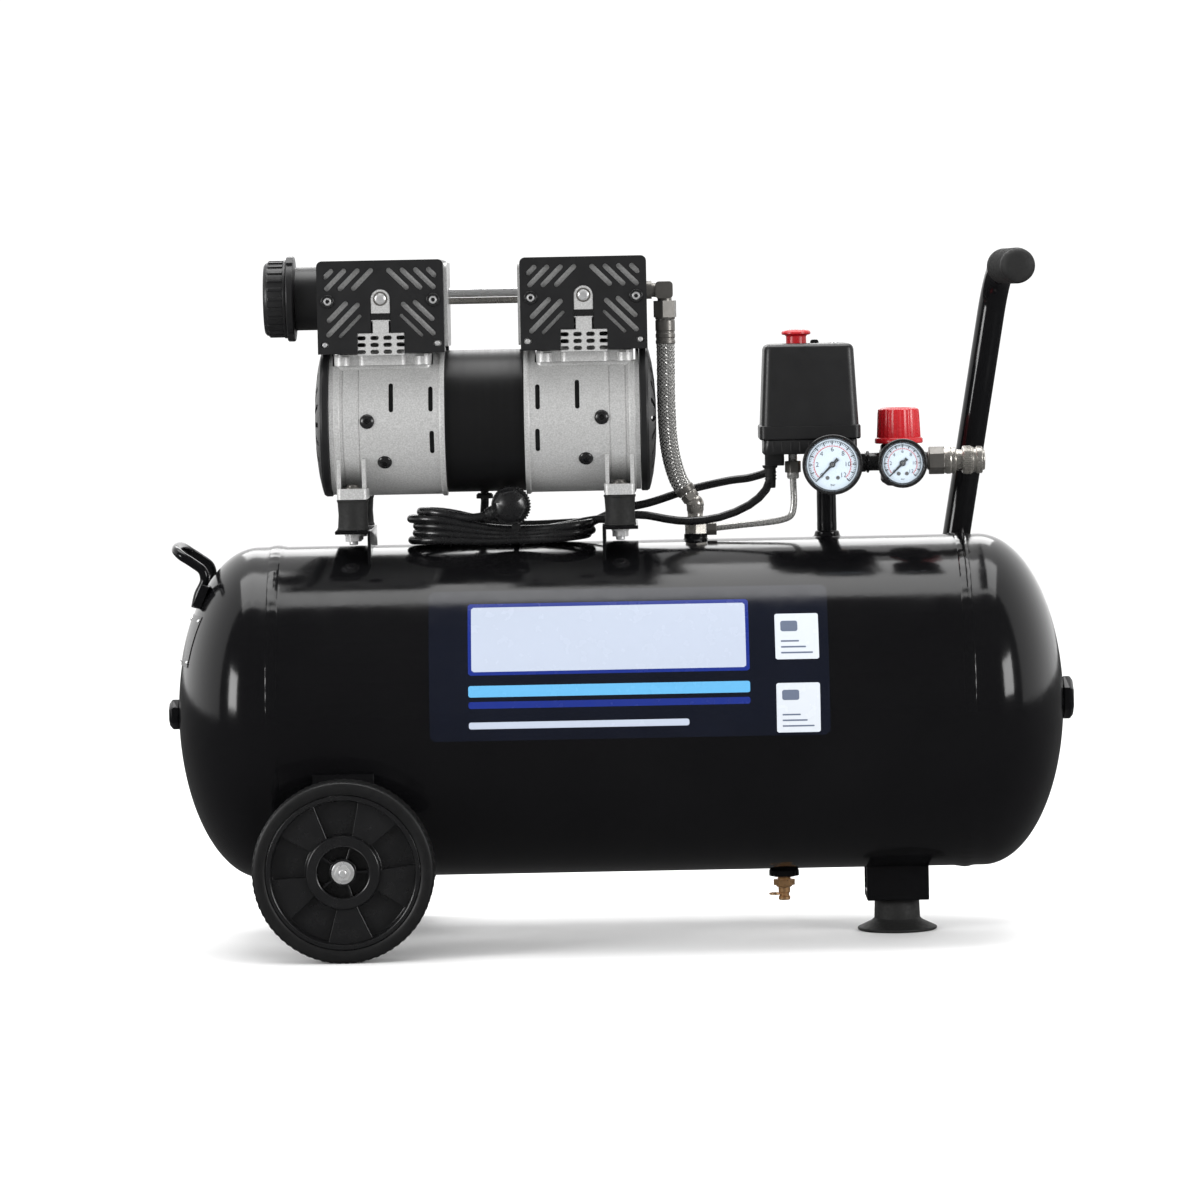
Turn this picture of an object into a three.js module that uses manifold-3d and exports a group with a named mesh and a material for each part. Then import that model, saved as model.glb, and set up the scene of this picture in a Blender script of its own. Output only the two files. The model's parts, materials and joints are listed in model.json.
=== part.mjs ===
// A twin-cylinder oil-free air compressor on a horizontal 50 litre receiver, with two wheels and one foot.
// Millimetres. +X runs along the receiver towards the hose coupler, -Y is the front and +Z is up.
// The origin is on the floor under the middle of the receiver.

import * as THREE from 'three';
import { mergeVertices } from 'three/addons/utils/BufferGeometryUtils.js';
import Module from 'manifold-3d';

const wasm = await Module();
wasm.setup();

// ---------------------------------------------------------------- driving dimensions

const GAP = 0.3;                    // clearance between touching pieces

const TANK_RADIUS = 150;            // the receiver: 300 mm across and 800 mm long
const TANK_HALF_LENGTH = 400;
const TANK_AXIS_Z = 208;
const TANK_WALL = 3;
const TANK_TOP_Z = TANK_AXIS_Z + TANK_RADIUS;
const TANK_BOTTOM_Z = TANK_AXIS_Z - TANK_RADIUS;
const DOME_DEPTH = TANK_RADIUS / 2; // 2:1 ellipsoidal ends
const SEAM_X = 308;                 // circular welds of the ends
const WELD_BEAD = 1.4;
const TANK_SIDES = 28;
const DOME_STEPS = 4;
const PORT_RADIUS = 9;              // threaded ports in both ends
const PLUG_THICKNESS = 9.2;

const WHEEL_RADIUS = 80;
const WHEEL_WIDTH = 36;
const TYRE_SIDES = 32;
const HUB_SIDES = 16;
const WHEEL_X = -246;
const WHEEL_Y = 168;                // middle of the tread
const AXLE_RADIUS = 8;
const HUB_RADIUS = 68.4;

const FOOT_X = 247;
const FOOT_PLATE_Z = 29;            // underside of the foot bracket

const DRAIN_X = 145;

const PUMP_X = -117;                // middle of the motor
const PUMP_Z = 469;                 // motor shaft height
const STATOR_RADIUS = 64;
const STATOR_HALF = 35.3;
const HOUSING_RADIUS = 65.5;
const HOUSING_BORE = 61.5;
const HOUSING_SIDES = 22;
const HOUSING_END = 139;            // outer end of each motor housing, from the middle of the motor
const CYLINDER_OFFSET = 90.5;       // cylinders, from the middle of the motor
const MOUNT_OFFSET = 119.5;         // rubber mounts, from the middle of the motor
const MOUNT_Y = 52;
const MOUNT_RADIUS = 14.4;
const BRACKET_TOP_Z = 374;          // top face of the pump brackets
const FOOT_PAD_Z = 402;             // underside of the motor feet

const COVER_HALF_WIDTH = 56.5;
const COVER_HALF_DEPTH = 67;
const COVER_BOTTOM = 63;            // heights from the motor shaft
const COVER_TOP = 146;
const COVER_WALL = 3;
const CYLINDER_BORE = 23;
const SEAT_Z = 52;                  // top of each housing's flat seat, above the motor shaft

const INTAKE_Z = 582;
const CHECK_VALVE_X = 70.5;
const HOSE_X = 46.5;                // upper end of the discharge hose
const RISER_X = 189.3;
const MANIFOLD_Z = 425;
const SWITCH_X = 174.6;
const SWITCH_BASE_Z = 434;
const SWITCH_RIM_Z = 447;
const GLAND_X = 139;                // both cables leave the switch here
const GLAND_Z = 423.4;              // underside of the cable gland
const SWITCH_TOP_Z = 533;
const BUTTON_X = 164.4;
const REGULATOR_X = 255.6;
const LARGE_GAUGE_X = 193;
const COUPLER_X = 300;              // where the hose coupler starts
const UNLOADER_X = 159.5;

const HANDLE_BASE = new THREE.Vector3(308, 45, 350);
const HANDLE_TOP = new THREE.Vector3(351, 45, 599.4);
const HANDLE_END = new THREE.Vector3(357, -120, 599);
const HANDLE_RADIUS = 12.5;

const CABLE_RADIUS = 3.75;

// ---------------------------------------------------------------- shape helpers

// Drops everything but positions, welds shared vertices and turns the faces outwards.
function clean(geometry) {
  const bare = new THREE.BufferGeometry();
  bare.setAttribute('position', geometry.getAttribute('position').clone());
  if (geometry.index) bare.setIndex(geometry.index.clone());
  const merged = mergeVertices(bare, 1e-3);
  const position = merged.getAttribute('position');
  const [a, b, c] = [new THREE.Vector3(), new THREE.Vector3(), new THREE.Vector3()];
  const kept = [];
  let volume = 0;
  for (let i = 0; i < merged.index.count; i += 3) {
    const corners = [0, 1, 2].map((k) => merged.index.getX(i + k));
    if (new Set(corners).size < 3) continue;
    kept.push(...corners);
    a.fromBufferAttribute(position, corners[0]);
    b.fromBufferAttribute(position, corners[1]);
    c.fromBufferAttribute(position, corners[2]);
    volume += a.dot(b.cross(c));
  }
  if (volume < 0) {
    for (let i = 0; i < kept.length; i += 3) [kept[i], kept[i + 1]] = [kept[i + 1], kept[i]];
  }
  merged.setIndex(kept);
  return merged;
}

function toSolid(geometry) {
  const mesh = clean(geometry);
  return new wasm.Manifold(new wasm.Mesh({
    numProp: 3,
    vertProperties: new Float32Array(mesh.getAttribute('position').array),
    triVerts: new Uint32Array(mesh.index.array),
  }));
}

function toGeometry(solid) {
  const mesh = solid.getMesh();
  const geometry = new THREE.BufferGeometry();
  geometry.setAttribute('position', new THREE.BufferAttribute(new Float32Array(mesh.vertProperties), 3));
  geometry.setIndex(Array.from(mesh.triVerts));
  return geometry;
}

function join(...geometries) {
  return toGeometry(geometries.map(toSolid).reduce((whole, piece) => whole.add(piece)));
}

function cut(geometry, ...tools) {
  return toGeometry(tools.map(toSolid).reduce((rest, tool) => rest.subtract(tool), toSolid(geometry)));
}

function box(x0, x1, y0, y1, z0, z1) {
  const geometry = new THREE.BoxGeometry(x1 - x0, y1 - y0, z1 - z0);
  return geometry.translate((x0 + x1) / 2, (y0 + y1) / 2, (z0 + z1) / 2);
}

// Turns a shape made along +Y so that it runs along the named axis instead.
function alongAxis(geometry, axis) {
  if (axis === 'x') return geometry.rotateZ(-Math.PI / 2);
  if (axis === 'z') return geometry.rotateX(Math.PI / 2);
  return geometry;
}

// A round bar between two stations on an axis, centred on the other two coordinates.
function bar(axis, radius, from, to, centre = [0, 0, 0], sides = 20) {
  const geometry = new THREE.CylinderGeometry(radius, radius, to - from, sides);
  geometry.translate(0, (from + to) / 2, 0);
  return alongAxis(geometry, axis).translate(...centre);
}

// Revolves [radius, station] pairs about an axis. The outline closes itself unless it ends on the axis.
function turned(axis, outline, sides = 24, centre = [0, 0, 0]) {
  const points = outline.map(([radius, station]) => new THREE.Vector2(radius, station));
  const onAxis = outline[0][0] === 0 && outline[outline.length - 1][0] === 0;
  if (!onAxis) points.push(points[0].clone());
  return alongAxis(clean(new THREE.LatheGeometry(points, sides)), axis).translate(...centre);
}

// Extrudes an outline of [first, second] pairs along an axis: x takes (y, z), y takes (x, z), z takes (x, y).
function plate(axis, outline, from, to) {
  const shape = new THREE.Shape(outline.map(([u, v]) => new THREE.Vector2(u, v)));
  const geometry = new THREE.ExtrudeGeometry(shape, { depth: to - from, bevelEnabled: false });
  if (axis === 'z') return geometry.translate(0, 0, from);
  if (axis === 'y') return geometry.rotateX(Math.PI / 2).translate(0, to, 0);
  const [right, up, along] = [[0, 1, 0], [0, 0, 1], [1, 0, 0]].map((v) => new THREE.Vector3(...v));
  return geometry.applyMatrix4(new THREE.Matrix4().makeBasis(right, up, along)).translate(from, 0, 0);
}

// Points on a circular arc, angles in degrees.
function arc(centreU, centreV, radius, startDeg, endDeg, steps) {
  return Array.from({ length: steps + 1 }, (_, i) => {
    const angle = THREE.MathUtils.degToRad(startDeg + (endDeg - startDeg) * i / steps);
    return [centreU + radius * Math.cos(angle), centreV + radius * Math.sin(angle)];
  });
}

function roundedRect(u0, u1, v0, v1, radius, steps = 3) {
  return [
    ...arc(u1 - radius, v1 - radius, radius, 0, 90, steps),
    ...arc(u0 + radius, v1 - radius, radius, 90, 180, steps),
    ...arc(u0 + radius, v0 + radius, radius, 180, 270, steps),
    ...arc(u1 - radius, v0 + radius, radius, 270, 360, steps),
  ];
}

// A slot with round ends between two points.
function slotOutline([u0, v0], [u1, v1], width, steps = 3) {
  const heading = THREE.MathUtils.radToDeg(Math.atan2(v1 - v0, u1 - u0));
  return [
    ...arc(u1, v1, width / 2, heading - 90, heading + 90, steps),
    ...arc(u0, v0, width / 2, heading + 90, heading + 270, steps),
  ];
}

function hexagon(acrossFlats, centreU = 0, centreV = 0, turnDeg = 0) {
  return arc(centreU, centreV, acrossFlats / Math.sqrt(3), turnDeg, turnDeg + 300, 5);
}

// Sweeps a round section along a curve, as a closed bar.
function sweptBar(curve, radius, steps, sides = 10) {
  const section = new THREE.Shape(arc(0, 0, radius, 0, 360 - 360 / sides, sides - 1)
    .map(([u, v]) => new THREE.Vector2(u, v)));
  return new THREE.ExtrudeGeometry(section, { steps, bevelEnabled: false, extrudePath: curve });
}

function smoothCurve(points) {
  return new THREE.CatmullRomCurve3(points.map((p) => new THREE.Vector3(...p)), false, 'centripetal');
}

function mirrorX(geometry) {
  return clean(geometry.clone().scale(-1, 1, 1));
}

function mirrorY(geometry) {
  return clean(geometry.clone().scale(1, -1, 1));
}

// ---------------------------------------------------------------- finishes

function finish(color, roughness, metalness) {
  return () => new THREE.MeshStandardMaterial({ color, roughness, metalness });
}

const blackPaint = finish(0x101011, 0.25, 0.2);
const mattePlastic = finish(0x1d1d1f, 0.6, 0);
const blackRubber = finish(0x161616, 0.85, 0);
const castAluminium = finish(0xb9bab8, 0.45, 0.9);
const redPlastic = finish(0xc3161c, 0.3, 0);
const nickel = finish(0xb8b3a8, 0.25, 1);
const brass = finish(0xb98a4d, 0.35, 1);
const zinc = finish(0xc9ccce, 0.35, 1);
const darkSteel = finish(0x35353a, 0.4, 0.8);
const pointerBlack = finish(0x0a0a0a, 0.4, 0);

const compressor = new THREE.Group();

function node(parent, name, geometry, material) {
  const mesh = new THREE.Mesh(clean(geometry), material());
  mesh.name = name;
  parent.add(mesh);
  return mesh;
}

function groupAt(x, y, z) {
  const group = new THREE.Group();
  group.position.set(x, y, z);
  compressor.add(group);
  return group;
}

// ---------------------------------------------------------------- receiver

// One end of the receiver from its straight side to a given radius, as [radius, station] pairs.
function domeOutline(radius, depth, innermost, steps) {
  const rimX = TANK_HALF_LENGTH - DOME_DEPTH;
  const last = Math.asin(innermost / radius);
  return Array.from({ length: steps + 1 }, (_, i) => {
    const angle = Math.PI / 2 + (last - Math.PI / 2) * i / steps;
    return [radius * Math.sin(angle), rimX + depth * Math.cos(angle)];
  });
}

function mirroredOutline(half) {
  return [...half.map(([radius, x]) => [radius, -x]).reverse(), ...half];
}

// The outside from just inside the right-hand weld to the edge of the right-hand port.
function tankProfile(clearance) {
  const radius = TANK_RADIUS + clearance;
  return [
    [radius, SEAM_X - 4], [radius + WELD_BEAD, SEAM_X], [radius, SEAM_X + 4],
    ...domeOutline(radius, DOME_DEPTH + clearance, PORT_RADIUS, DOME_STEPS),
  ];
}

// The receiver's outside, grown by a clearance, as a solid to cut neighbours with.
function tankEnvelope(clearance) {
  const half = [...tankProfile(clearance), [0, TANK_HALF_LENGTH + clearance]];
  return turned('x', mirroredOutline(half), TANK_SIDES, [0, 0, TANK_AXIS_Z]);
}

function tank() {
  const portDepth = 12;
  const outside = mirroredOutline(tankProfile(0));
  const inside = mirroredOutline([
    ...domeOutline(TANK_RADIUS - TANK_WALL, DOME_DEPTH - portDepth, PORT_RADIUS, 2),
  ]);
  const shell = turned('x', [...outside, ...inside.reverse()], TANK_SIDES, [0, 0, TANK_AXIS_Z]);
  const drainBung = turned('z', [
    [0, -12], [13.6, -9], [13.6, -4], [11, 0], [11, 5], [0, 5],
  ], 16, [DRAIN_X, 0, TANK_BOTTOM_Z + 2]);
  return cut(
    join(shell, drainBung),
    bar('z', 6.4, TANK_BOTTOM_Z - 20, TANK_BOTTOM_Z + 20, [DRAIN_X, 0, 0], 12),
    bar('z', 7.6, TANK_TOP_Z - 20, TANK_TOP_Z + 20, [CHECK_VALVE_X, 0, 0], 12),
    bar('z', 9.4, TANK_TOP_Z - 20, TANK_TOP_Z + 20, [RISER_X, 0, 0], 12),
  );
}

// A hexagon plug for an end port: a chamfered head outside and a stub inside the port.
function endPlug(side, acrossFlats) {
  const rim = acrossFlats / Math.sqrt(3);
  const head = turned('x', [
    [0, 0], [rim, 0], [rim, PLUG_THICKNESS - 3], [rim - 4, PLUG_THICKNESS], [0, PLUG_THICKNESS],
  ], 6);
  const stub = bar('x', PORT_RADIUS - 0.5, -9, 1, [0, 0, 0], 12);
  const plug = join(head, stub).translate(TANK_HALF_LENGTH + GAP, 0, TANK_AXIS_Z);
  return side > 0 ? plug : mirrorX(plug);
}

// A bail of round bar on the left end: two cranked legs and a cross bar, welded on two pads.
function carryHandle() {
  const legY = 46;
  const barRadius = 4.2;
  const leg = [[-380, 307], [-377, 319], [-371.5, 331], [-373, 340], [-382, 347.5], [-391, 353.5]];
  const bail = smoothCurve([
    ...leg.map(([x, z]) => [x, -legY, z]),
    [-396, -legY + 8, 357.5],
    [-396, legY - 8, 357.5],
    ...leg.map(([x, z]) => [x, legY, z]).reverse(),
  ]);
  const pads = [-legY, legY].map((y) => {
    const pad = new THREE.BoxGeometry(9, 17, 22);
    return pad.rotateY(0.42).translate(-374.5, y, 317.5);
  });
  return cut(join(sweptBar(bail, barRadius, 22, 6), ...pads), tankEnvelope(GAP));
}

const receiver = groupAt(0, 0, 0);
node(receiver, 'tank', tank(), blackPaint);
node(receiver, 'end_plug_left', endPlug(-1, 24), blackPaint);
node(receiver, 'end_plug_right', endPlug(1, 34), blackPaint);
node(receiver, 'carry_handle', carryHandle(), blackPaint);

// ---------------------------------------------------------------- foot

function footBracket() {
  const half = 28;
  const sheet = 3;
  const tub = cut(
    box(-half, half, -half, half, FOOT_PLATE_Z, 75),
    box(sheet - half, half - sheet, sheet - half, half - sheet, FOOT_PLATE_Z + sheet, 80),
    box(-half - 1, half + 1, -18, 18, FOOT_PLATE_Z + 8, 80),
    bar('z', 6.6, FOOT_PLATE_Z - 5, FOOT_PLATE_Z + 10, [0, 0, 0], 12),
  );
  return cut(tub.translate(FOOT_X, 0, 0), tankEnvelope(GAP));
}

// A rubber foot: a hollowed bell, a neck and the bolt that holds it in the bracket.
function rubberFoot() {
  const neckTop = FOOT_PLATE_Z - GAP;
  return turned('z', [
    [0, 4], [14, 4], [14, 0], [36, 0], [36, 2.5], [31, 5], [20.6, 12],
    [20.6, neckTop], [6, neckTop], [6, neckTop + 9], [0, neckTop + 9],
  ].reverse(), 14, [FOOT_X, 0, 0]);
}

node(receiver, 'foot_bracket', footBracket(), blackPaint);
node(receiver, 'rubber_foot', rubberFoot(), blackRubber);

// ---------------------------------------------------------------- wheels, modelled for the front (-Y) side

const BRACKET_WEB_Y = 146;          // outer face of the bracket's web

// A folded bracket welded low on the receiver's side, with its stub axle and spacer collar.
function wheelBracket() {
  const half = 27;
  const sheet = 4;
  const [bottom, top] = [62, 163];
  const channel = cut(
    box(-half, half, -BRACKET_WEB_Y, -112, bottom, top),
    box(sheet - half, half - sheet, sheet - BRACKET_WEB_Y, -100, bottom - 1, top - sheet),
  );
  const axleEnd = WHEEL_Y + WHEEL_WIDTH / 2 - 3;
  const pressing = join(
    channel,
    bar('y', 12, -WHEEL_Y + WHEEL_WIDTH / 2 + GAP, -BRACKET_WEB_Y + 1, [0, 0, WHEEL_RADIUS], 16),
    bar('y', AXLE_RADIUS, -axleEnd, -BRACKET_WEB_Y + 8, [0, 0, WHEEL_RADIUS], 20),
  );
  return cut(pressing.translate(WHEEL_X, 0, 0), tankEnvelope(GAP));
}

// A moulded hub: barrel, hub ring, corrugated web of five raised panels, and the rim that holds the tyre.
function wheelHub() {
  const outerFace = -WHEEL_WIDTH / 2;
  const webFace = -6;
  const bore = AXLE_RADIUS + 0.4;
  const body = turned('y', [
    [bore, outerFace + 4], [12, outerFace + 4], [12, -3], [22.6, -3], [22.6, outerFace + 3],
    [32.6, outerFace + 3], [32.6, webFace], [63, webFace], [63, outerFace + 1.5],
    [HUB_RADIUS, outerFace + 1.5], [HUB_RADIUS, -outerFace - 1.5], [63, -outerFace - 1.5],
    [61, 0], [14, 0], [14, -outerFace], [bore, -outerFace],
  ], HUB_SIDES);
  const panels = Array.from({ length: 5 }, (_, i) => {
    const start = 41 + i * 72;
    return plate('y', [
      ...arc(0, 0, 64, start, start + 36, 2),
      ...arc(0, 0, 32, start + 36, start, 1),
    ], webFace - 5, webFace + 1);
  });
  const hubRibs = Array.from({ length: 5 }, (_, i) => {
    const rib = box(11, 23.5, webFace - 5, -2, -1, 1);
    return rib.rotateY(THREE.MathUtils.degToRad(i * 72));
  });
  return join(body, ...panels, ...hubRibs);
}

function tyre() {
  const side = WHEEL_WIDTH / 2;
  const inner = HUB_RADIUS + GAP;
  const half = [[WHEEL_RADIUS, side - 3], [WHEEL_RADIUS - 3, side], [inner, side]];
  return turned('y', mirroredOutline(half), TYRE_SIDES);
}

const frontWheel = groupAt(WHEEL_X, -WHEEL_Y, WHEEL_RADIUS);
const rearWheel = groupAt(WHEEL_X, WHEEL_Y, WHEEL_RADIUS);
node(receiver, 'wheel_bracket_front', wheelBracket(), blackPaint);
node(receiver, 'wheel_bracket_rear', mirrorY(wheelBracket()), blackPaint);
node(frontWheel, 'wheel_hub_front', wheelHub(), mattePlastic);
node(frontWheel, 'tyre_front', tyre(), blackRubber);
node(rearWheel, 'wheel_hub_rear', mirrorY(wheelHub()), mattePlastic);
node(rearWheel, 'tyre_rear', tyre(), blackRubber);

// ---------------------------------------------------------------- push handle

// A steel tube that leans outwards, then bends forwards into the grip.
function handleRun(radius, extra, sides) {
  const bend = 42;
  const up = HANDLE_TOP.clone().sub(HANDLE_BASE).normalize();
  const forward = HANDLE_END.clone().sub(HANDLE_TOP).normalize();
  const bendStart = HANDLE_TOP.clone().addScaledVector(up, -bend);
  const bendEnd = HANDLE_TOP.clone().addScaledVector(forward, bend);
  const overlap = 0.4;
  const leg = new THREE.LineCurve3(
    HANDLE_BASE.clone().addScaledVector(up, -extra), bendStart.clone().addScaledVector(up, overlap));
  const reach = new THREE.LineCurve3(
    bendEnd.clone().addScaledVector(forward, -overlap), HANDLE_END.clone().addScaledVector(forward, extra));
  const weight = 0.448;             // cubic arms nearly as long as a circle's
  const elbow = new THREE.CubicBezierCurve3(
    bendStart, HANDLE_TOP.clone().addScaledVector(up, -bend * weight),
    HANDLE_TOP.clone().addScaledVector(forward, bend * weight), bendEnd);
  return join(
    sweptBar(leg, radius, 1, sides), sweptBar(elbow, radius, 5, sides), sweptBar(reach, radius, 1, sides));
}

function pushHandle() {
  return cut(handleRun(HANDLE_RADIUS, 0, 12), handleRun(HANDLE_RADIUS - 2.4, 12, 8), tankEnvelope(GAP));
}

// The rubber sleeve over the tube, modelled from the tube's front end.
function handleGrip() {
  const lean = Math.atan2(HANDLE_END.x - HANDLE_TOP.x, HANDLE_TOP.y - HANDLE_END.y);
  const [front, rear] = [-6, 112];
  const sleeve = turned('y', [
    [0, front], [13.6, front], [15.4, front + 2], [15.4, rear], [0, rear],
  ], 20);
  return cut(sleeve, bar('y', HANDLE_RADIUS + 1.1, -1.5, rear + 1, [0, 0, 0], 14))
    .rotateZ(lean).translate(...HANDLE_END.toArray());
}

node(receiver, 'push_handle', pushHandle(), blackPaint);
node(receiver, 'handle_grip', handleGrip(), blackRubber);

// ---------------------------------------------------------------- drain valve

const DRAIN_HEX_BOTTOM = 40.6;

function drainBody() {
  const hexTop = TANK_BOTTOM_Z - 10 - GAP;
  return join(
    plate('z', hexagon(17), DRAIN_HEX_BOTTOM, hexTop),
    bar('z', 5.8, DRAIN_HEX_BOTTOM + 2, TANK_BOTTOM_Z + 6, [0, 0, 0], 12),
  ).translate(DRAIN_X, 0, 0);
}

// The turning stem with the wire ring it is turned by.
function drainStem() {
  const top = DRAIN_HEX_BOTTOM - GAP;
  const stem = turned('z', [
    [0, 28.7], [5.4, 28.7], [5.4, 32.4], [4.6, 33], [4.6, 35], [5.4, 35.6], [5.4, top], [0, top],
  ], 12);
  const ring = new THREE.TorusGeometry(4.8, 0.9, 6, 12).rotateX(Math.PI / 2).translate(-8.4, 0, 34.4);
  return join(stem, ring).translate(DRAIN_X, 0, 0);
}

node(receiver, 'drain_body', drainBody(), brass);
node(receiver, 'drain_stem', drainStem(), brass);

// ---------------------------------------------------------------- motor and pump
// Pieces that come in pairs are modelled for the right side and mirrored for the left.

const pump = groupAt(PUMP_X, 0, PUMP_Z);

function pair(parent, name, geometry, material) {
  node(parent, `${name}_right`, geometry, material);
  node(parent, `${name}_left`, mirrorX(geometry), material);
}

// A sheet bracket across the receiver: an upright web cut to its curve, and a top flange for two mounts.
function pumpBracket() {
  const sheet = 3;
  const webX = MOUNT_OFFSET - 16;
  const halfDepth = 66;
  const angle = join(
    box(webX, webX + sheet, -halfDepth, halfDepth, TANK_TOP_Z - 30, BRACKET_TOP_Z),
    box(webX, MOUNT_OFFSET + 16, -halfDepth, halfDepth, BRACKET_TOP_Z - sheet, BRACKET_TOP_Z),
  );
  const holes = [-MOUNT_Y, MOUNT_Y].map((y) => bar('z', 5.2, 340, 400, [MOUNT_OFFSET, y, 0], 12));
  const placed = cut(angle, ...holes).translate(PUMP_X, 0, 0);
  return cut(placed, tankEnvelope(GAP)).translate(-PUMP_X, 0, -PUMP_Z);
}

// A rubber bobbin with its lower stud.
function rubberMount() {
  const [bottom, top] = [BRACKET_TOP_Z + GAP - PUMP_Z, FOOT_PAD_Z - GAP - PUMP_Z];
  return turned('z', [
    [0, bottom - 14], [4.6, bottom - 14], [4.6, bottom], [MOUNT_RADIUS, bottom],
    [MOUNT_RADIUS, top], [0, top],
  ], 16);
}

// A cast housing: barrel, bearing wall, feet with two ribs each, cooling slots and the cylinder's seat.
function motorHousing() {
  const inner = STATOR_HALF + GAP;
  const lip = HOUSING_RADIUS + 1.6;
  const barrel = turned('x', [
    [lip, inner], [lip, inner + 3.5], [HOUSING_RADIUS, inner + 5], [HOUSING_RADIUS, HOUSING_END - 10],
    [lip, HOUSING_END - 8.5], [lip, HOUSING_END - 5], [HOUSING_RADIUS - 1, HOUSING_END - 4],
    [HOUSING_RADIUS - 1, HOUSING_END], [HOUSING_BORE, HOUSING_END],
    [HOUSING_BORE, 42.6], [AXLE_RADIUS + 0.5, 42.6],
    [AXLE_RADIUS + 0.5, inner],
  ], HOUSING_SIDES);
  const seat = box(46.5, 134.5, -41, 41, SEAT_Z - 6, SEAT_Z);
  const aboveSeat = box(46.5, 134.5, -60, 60, SEAT_Z, 80);
  const feet = [-1, 1].flatMap((side) => {
    const [near, far] = [14, MOUNT_Y + 14];
    const [y0, y1] = side < 0 ? [-far, -near] : [near, far];
    const padZ = FOOT_PAD_Z - PUMP_Z;
    const [ribNear, ribFar] = side < 0 ? [-far + 4, -40] : [40, far - 4];
    return [
      box(MOUNT_OFFSET - 13.6, MOUNT_OFFSET + 13.6, y0, y1, padZ, padZ + 10),
      box(MOUNT_OFFSET - 12.4, MOUNT_OFFSET - 9, ribNear, ribFar, padZ + 9, padZ + 36),
      box(MOUNT_OFFSET + 10, MOUNT_OFFSET + 13.4, ribNear, ribFar, padZ + 9, padZ + 36),
    ];
  });
  const bore = bar('x', HOUSING_RADIUS - 1, 43, HOUSING_END + 5, [0, 0, 0], HOUSING_SIDES);
  const slots = [
    slotOutline([83.2, 12.4], [83.2, 34], 2.6, 1),
    slotOutline([47.6, 12.4], [47.6, 30.6], 2.8, 1),
    slotOutline([46.8, -25], [46.8, -8.8], 2.8, 1),
  ].map((outline) => plate('y', outline, -80, 80));
  const cylinderHole = bar('z', 28.4, 20, 70, [CYLINDER_OFFSET, 0, 0], 16);
  return cut(join(barrel, seat, cut(join(...feet), bore)), aboveSeat, ...slots, cylinderHole);
}

// The stator: a lamination stack in its black sleeve.
function stator() {
  return turned('x', [
    [34.6, -STATOR_HALF], [STATOR_RADIUS, -STATOR_HALF], [STATOR_RADIUS, STATOR_HALF], [34.6, STATOR_HALF],
  ].reverse(), 32);
}

// The rotor: core, shaft and the two eccentrics, in line on the shaft, that drive the pistons.
function rotor() {
  const shaftEnd = 136;
  const eccentrics = [-1, 1].map((side) => {
    const middle = side * CYLINDER_OFFSET;
    return bar('x', 14, middle - 7, middle + 7, [0, 0, side * 7], 12);
  });
  return join(
    bar('x', AXLE_RADIUS, -shaftEnd, shaftEnd, [0, 0, 0], 12),
    bar('x', 33, -30, 30, [0, 0, 0], 20),
    ...eccentrics,
  );
}

// The end guard: a black rim and a shallow vented dome over the cooling fan.
function endGuard() {
  const start = HOUSING_END + GAP;
  const guard = turned('x', [
    [58, start], [66, start], [66, start + 6], [63, start + 8.2],
    [58, start + 9], [0, start + 14.6], [0, start + 12], [58, start + 6.4],
  ], 20);
  const vents = Array.from({ length: 6 }, (_, i) => {
    const angle = (i + 0.5) * Math.PI / 3;
    const ends = [22, 50].map((r) => [r * Math.cos(angle), r * Math.sin(angle)]);
    return plate('x', slotOutline(ends[0], ends[1], 12, 1), start + 2, start + 20);
  });
  return cut(guard, ...vents);
}

pair(pump, 'pump_bracket', pumpBracket(), blackPaint);
for (const [corner, x, y] of [
  ['front_left', -MOUNT_OFFSET, -MOUNT_Y], ['rear_left', -MOUNT_OFFSET, MOUNT_Y],
  ['front_right', MOUNT_OFFSET, -MOUNT_Y], ['rear_right', MOUNT_OFFSET, MOUNT_Y],
]) {
  node(pump, `rubber_mount_${corner}`, rubberMount(), blackRubber).position.set(x, y, 0);
}
pair(pump, 'motor_housing', motorHousing(), castAluminium);
node(pump, 'stator', stator(), mattePlastic);
node(pump, 'rotor', rotor(), darkSteel);
pair(pump, 'end_guard', endGuard(), mattePlastic);

// ---------------------------------------------------------------- cylinders and covers
// Modelled about the cylinder's own axis, at the height of the shaft, with the other cylinder towards -X.

const TAB_HALF_WIDTH = 8.3;
const TAB_TOP = COVER_TOP - 26;
const GRILLE_HALF_WIDTH = 20.6;
const GRILLE_TOP = COVER_TOP - 65;
const BOSS_REACH = COVER_HALF_WIDTH + 2.5;

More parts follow.
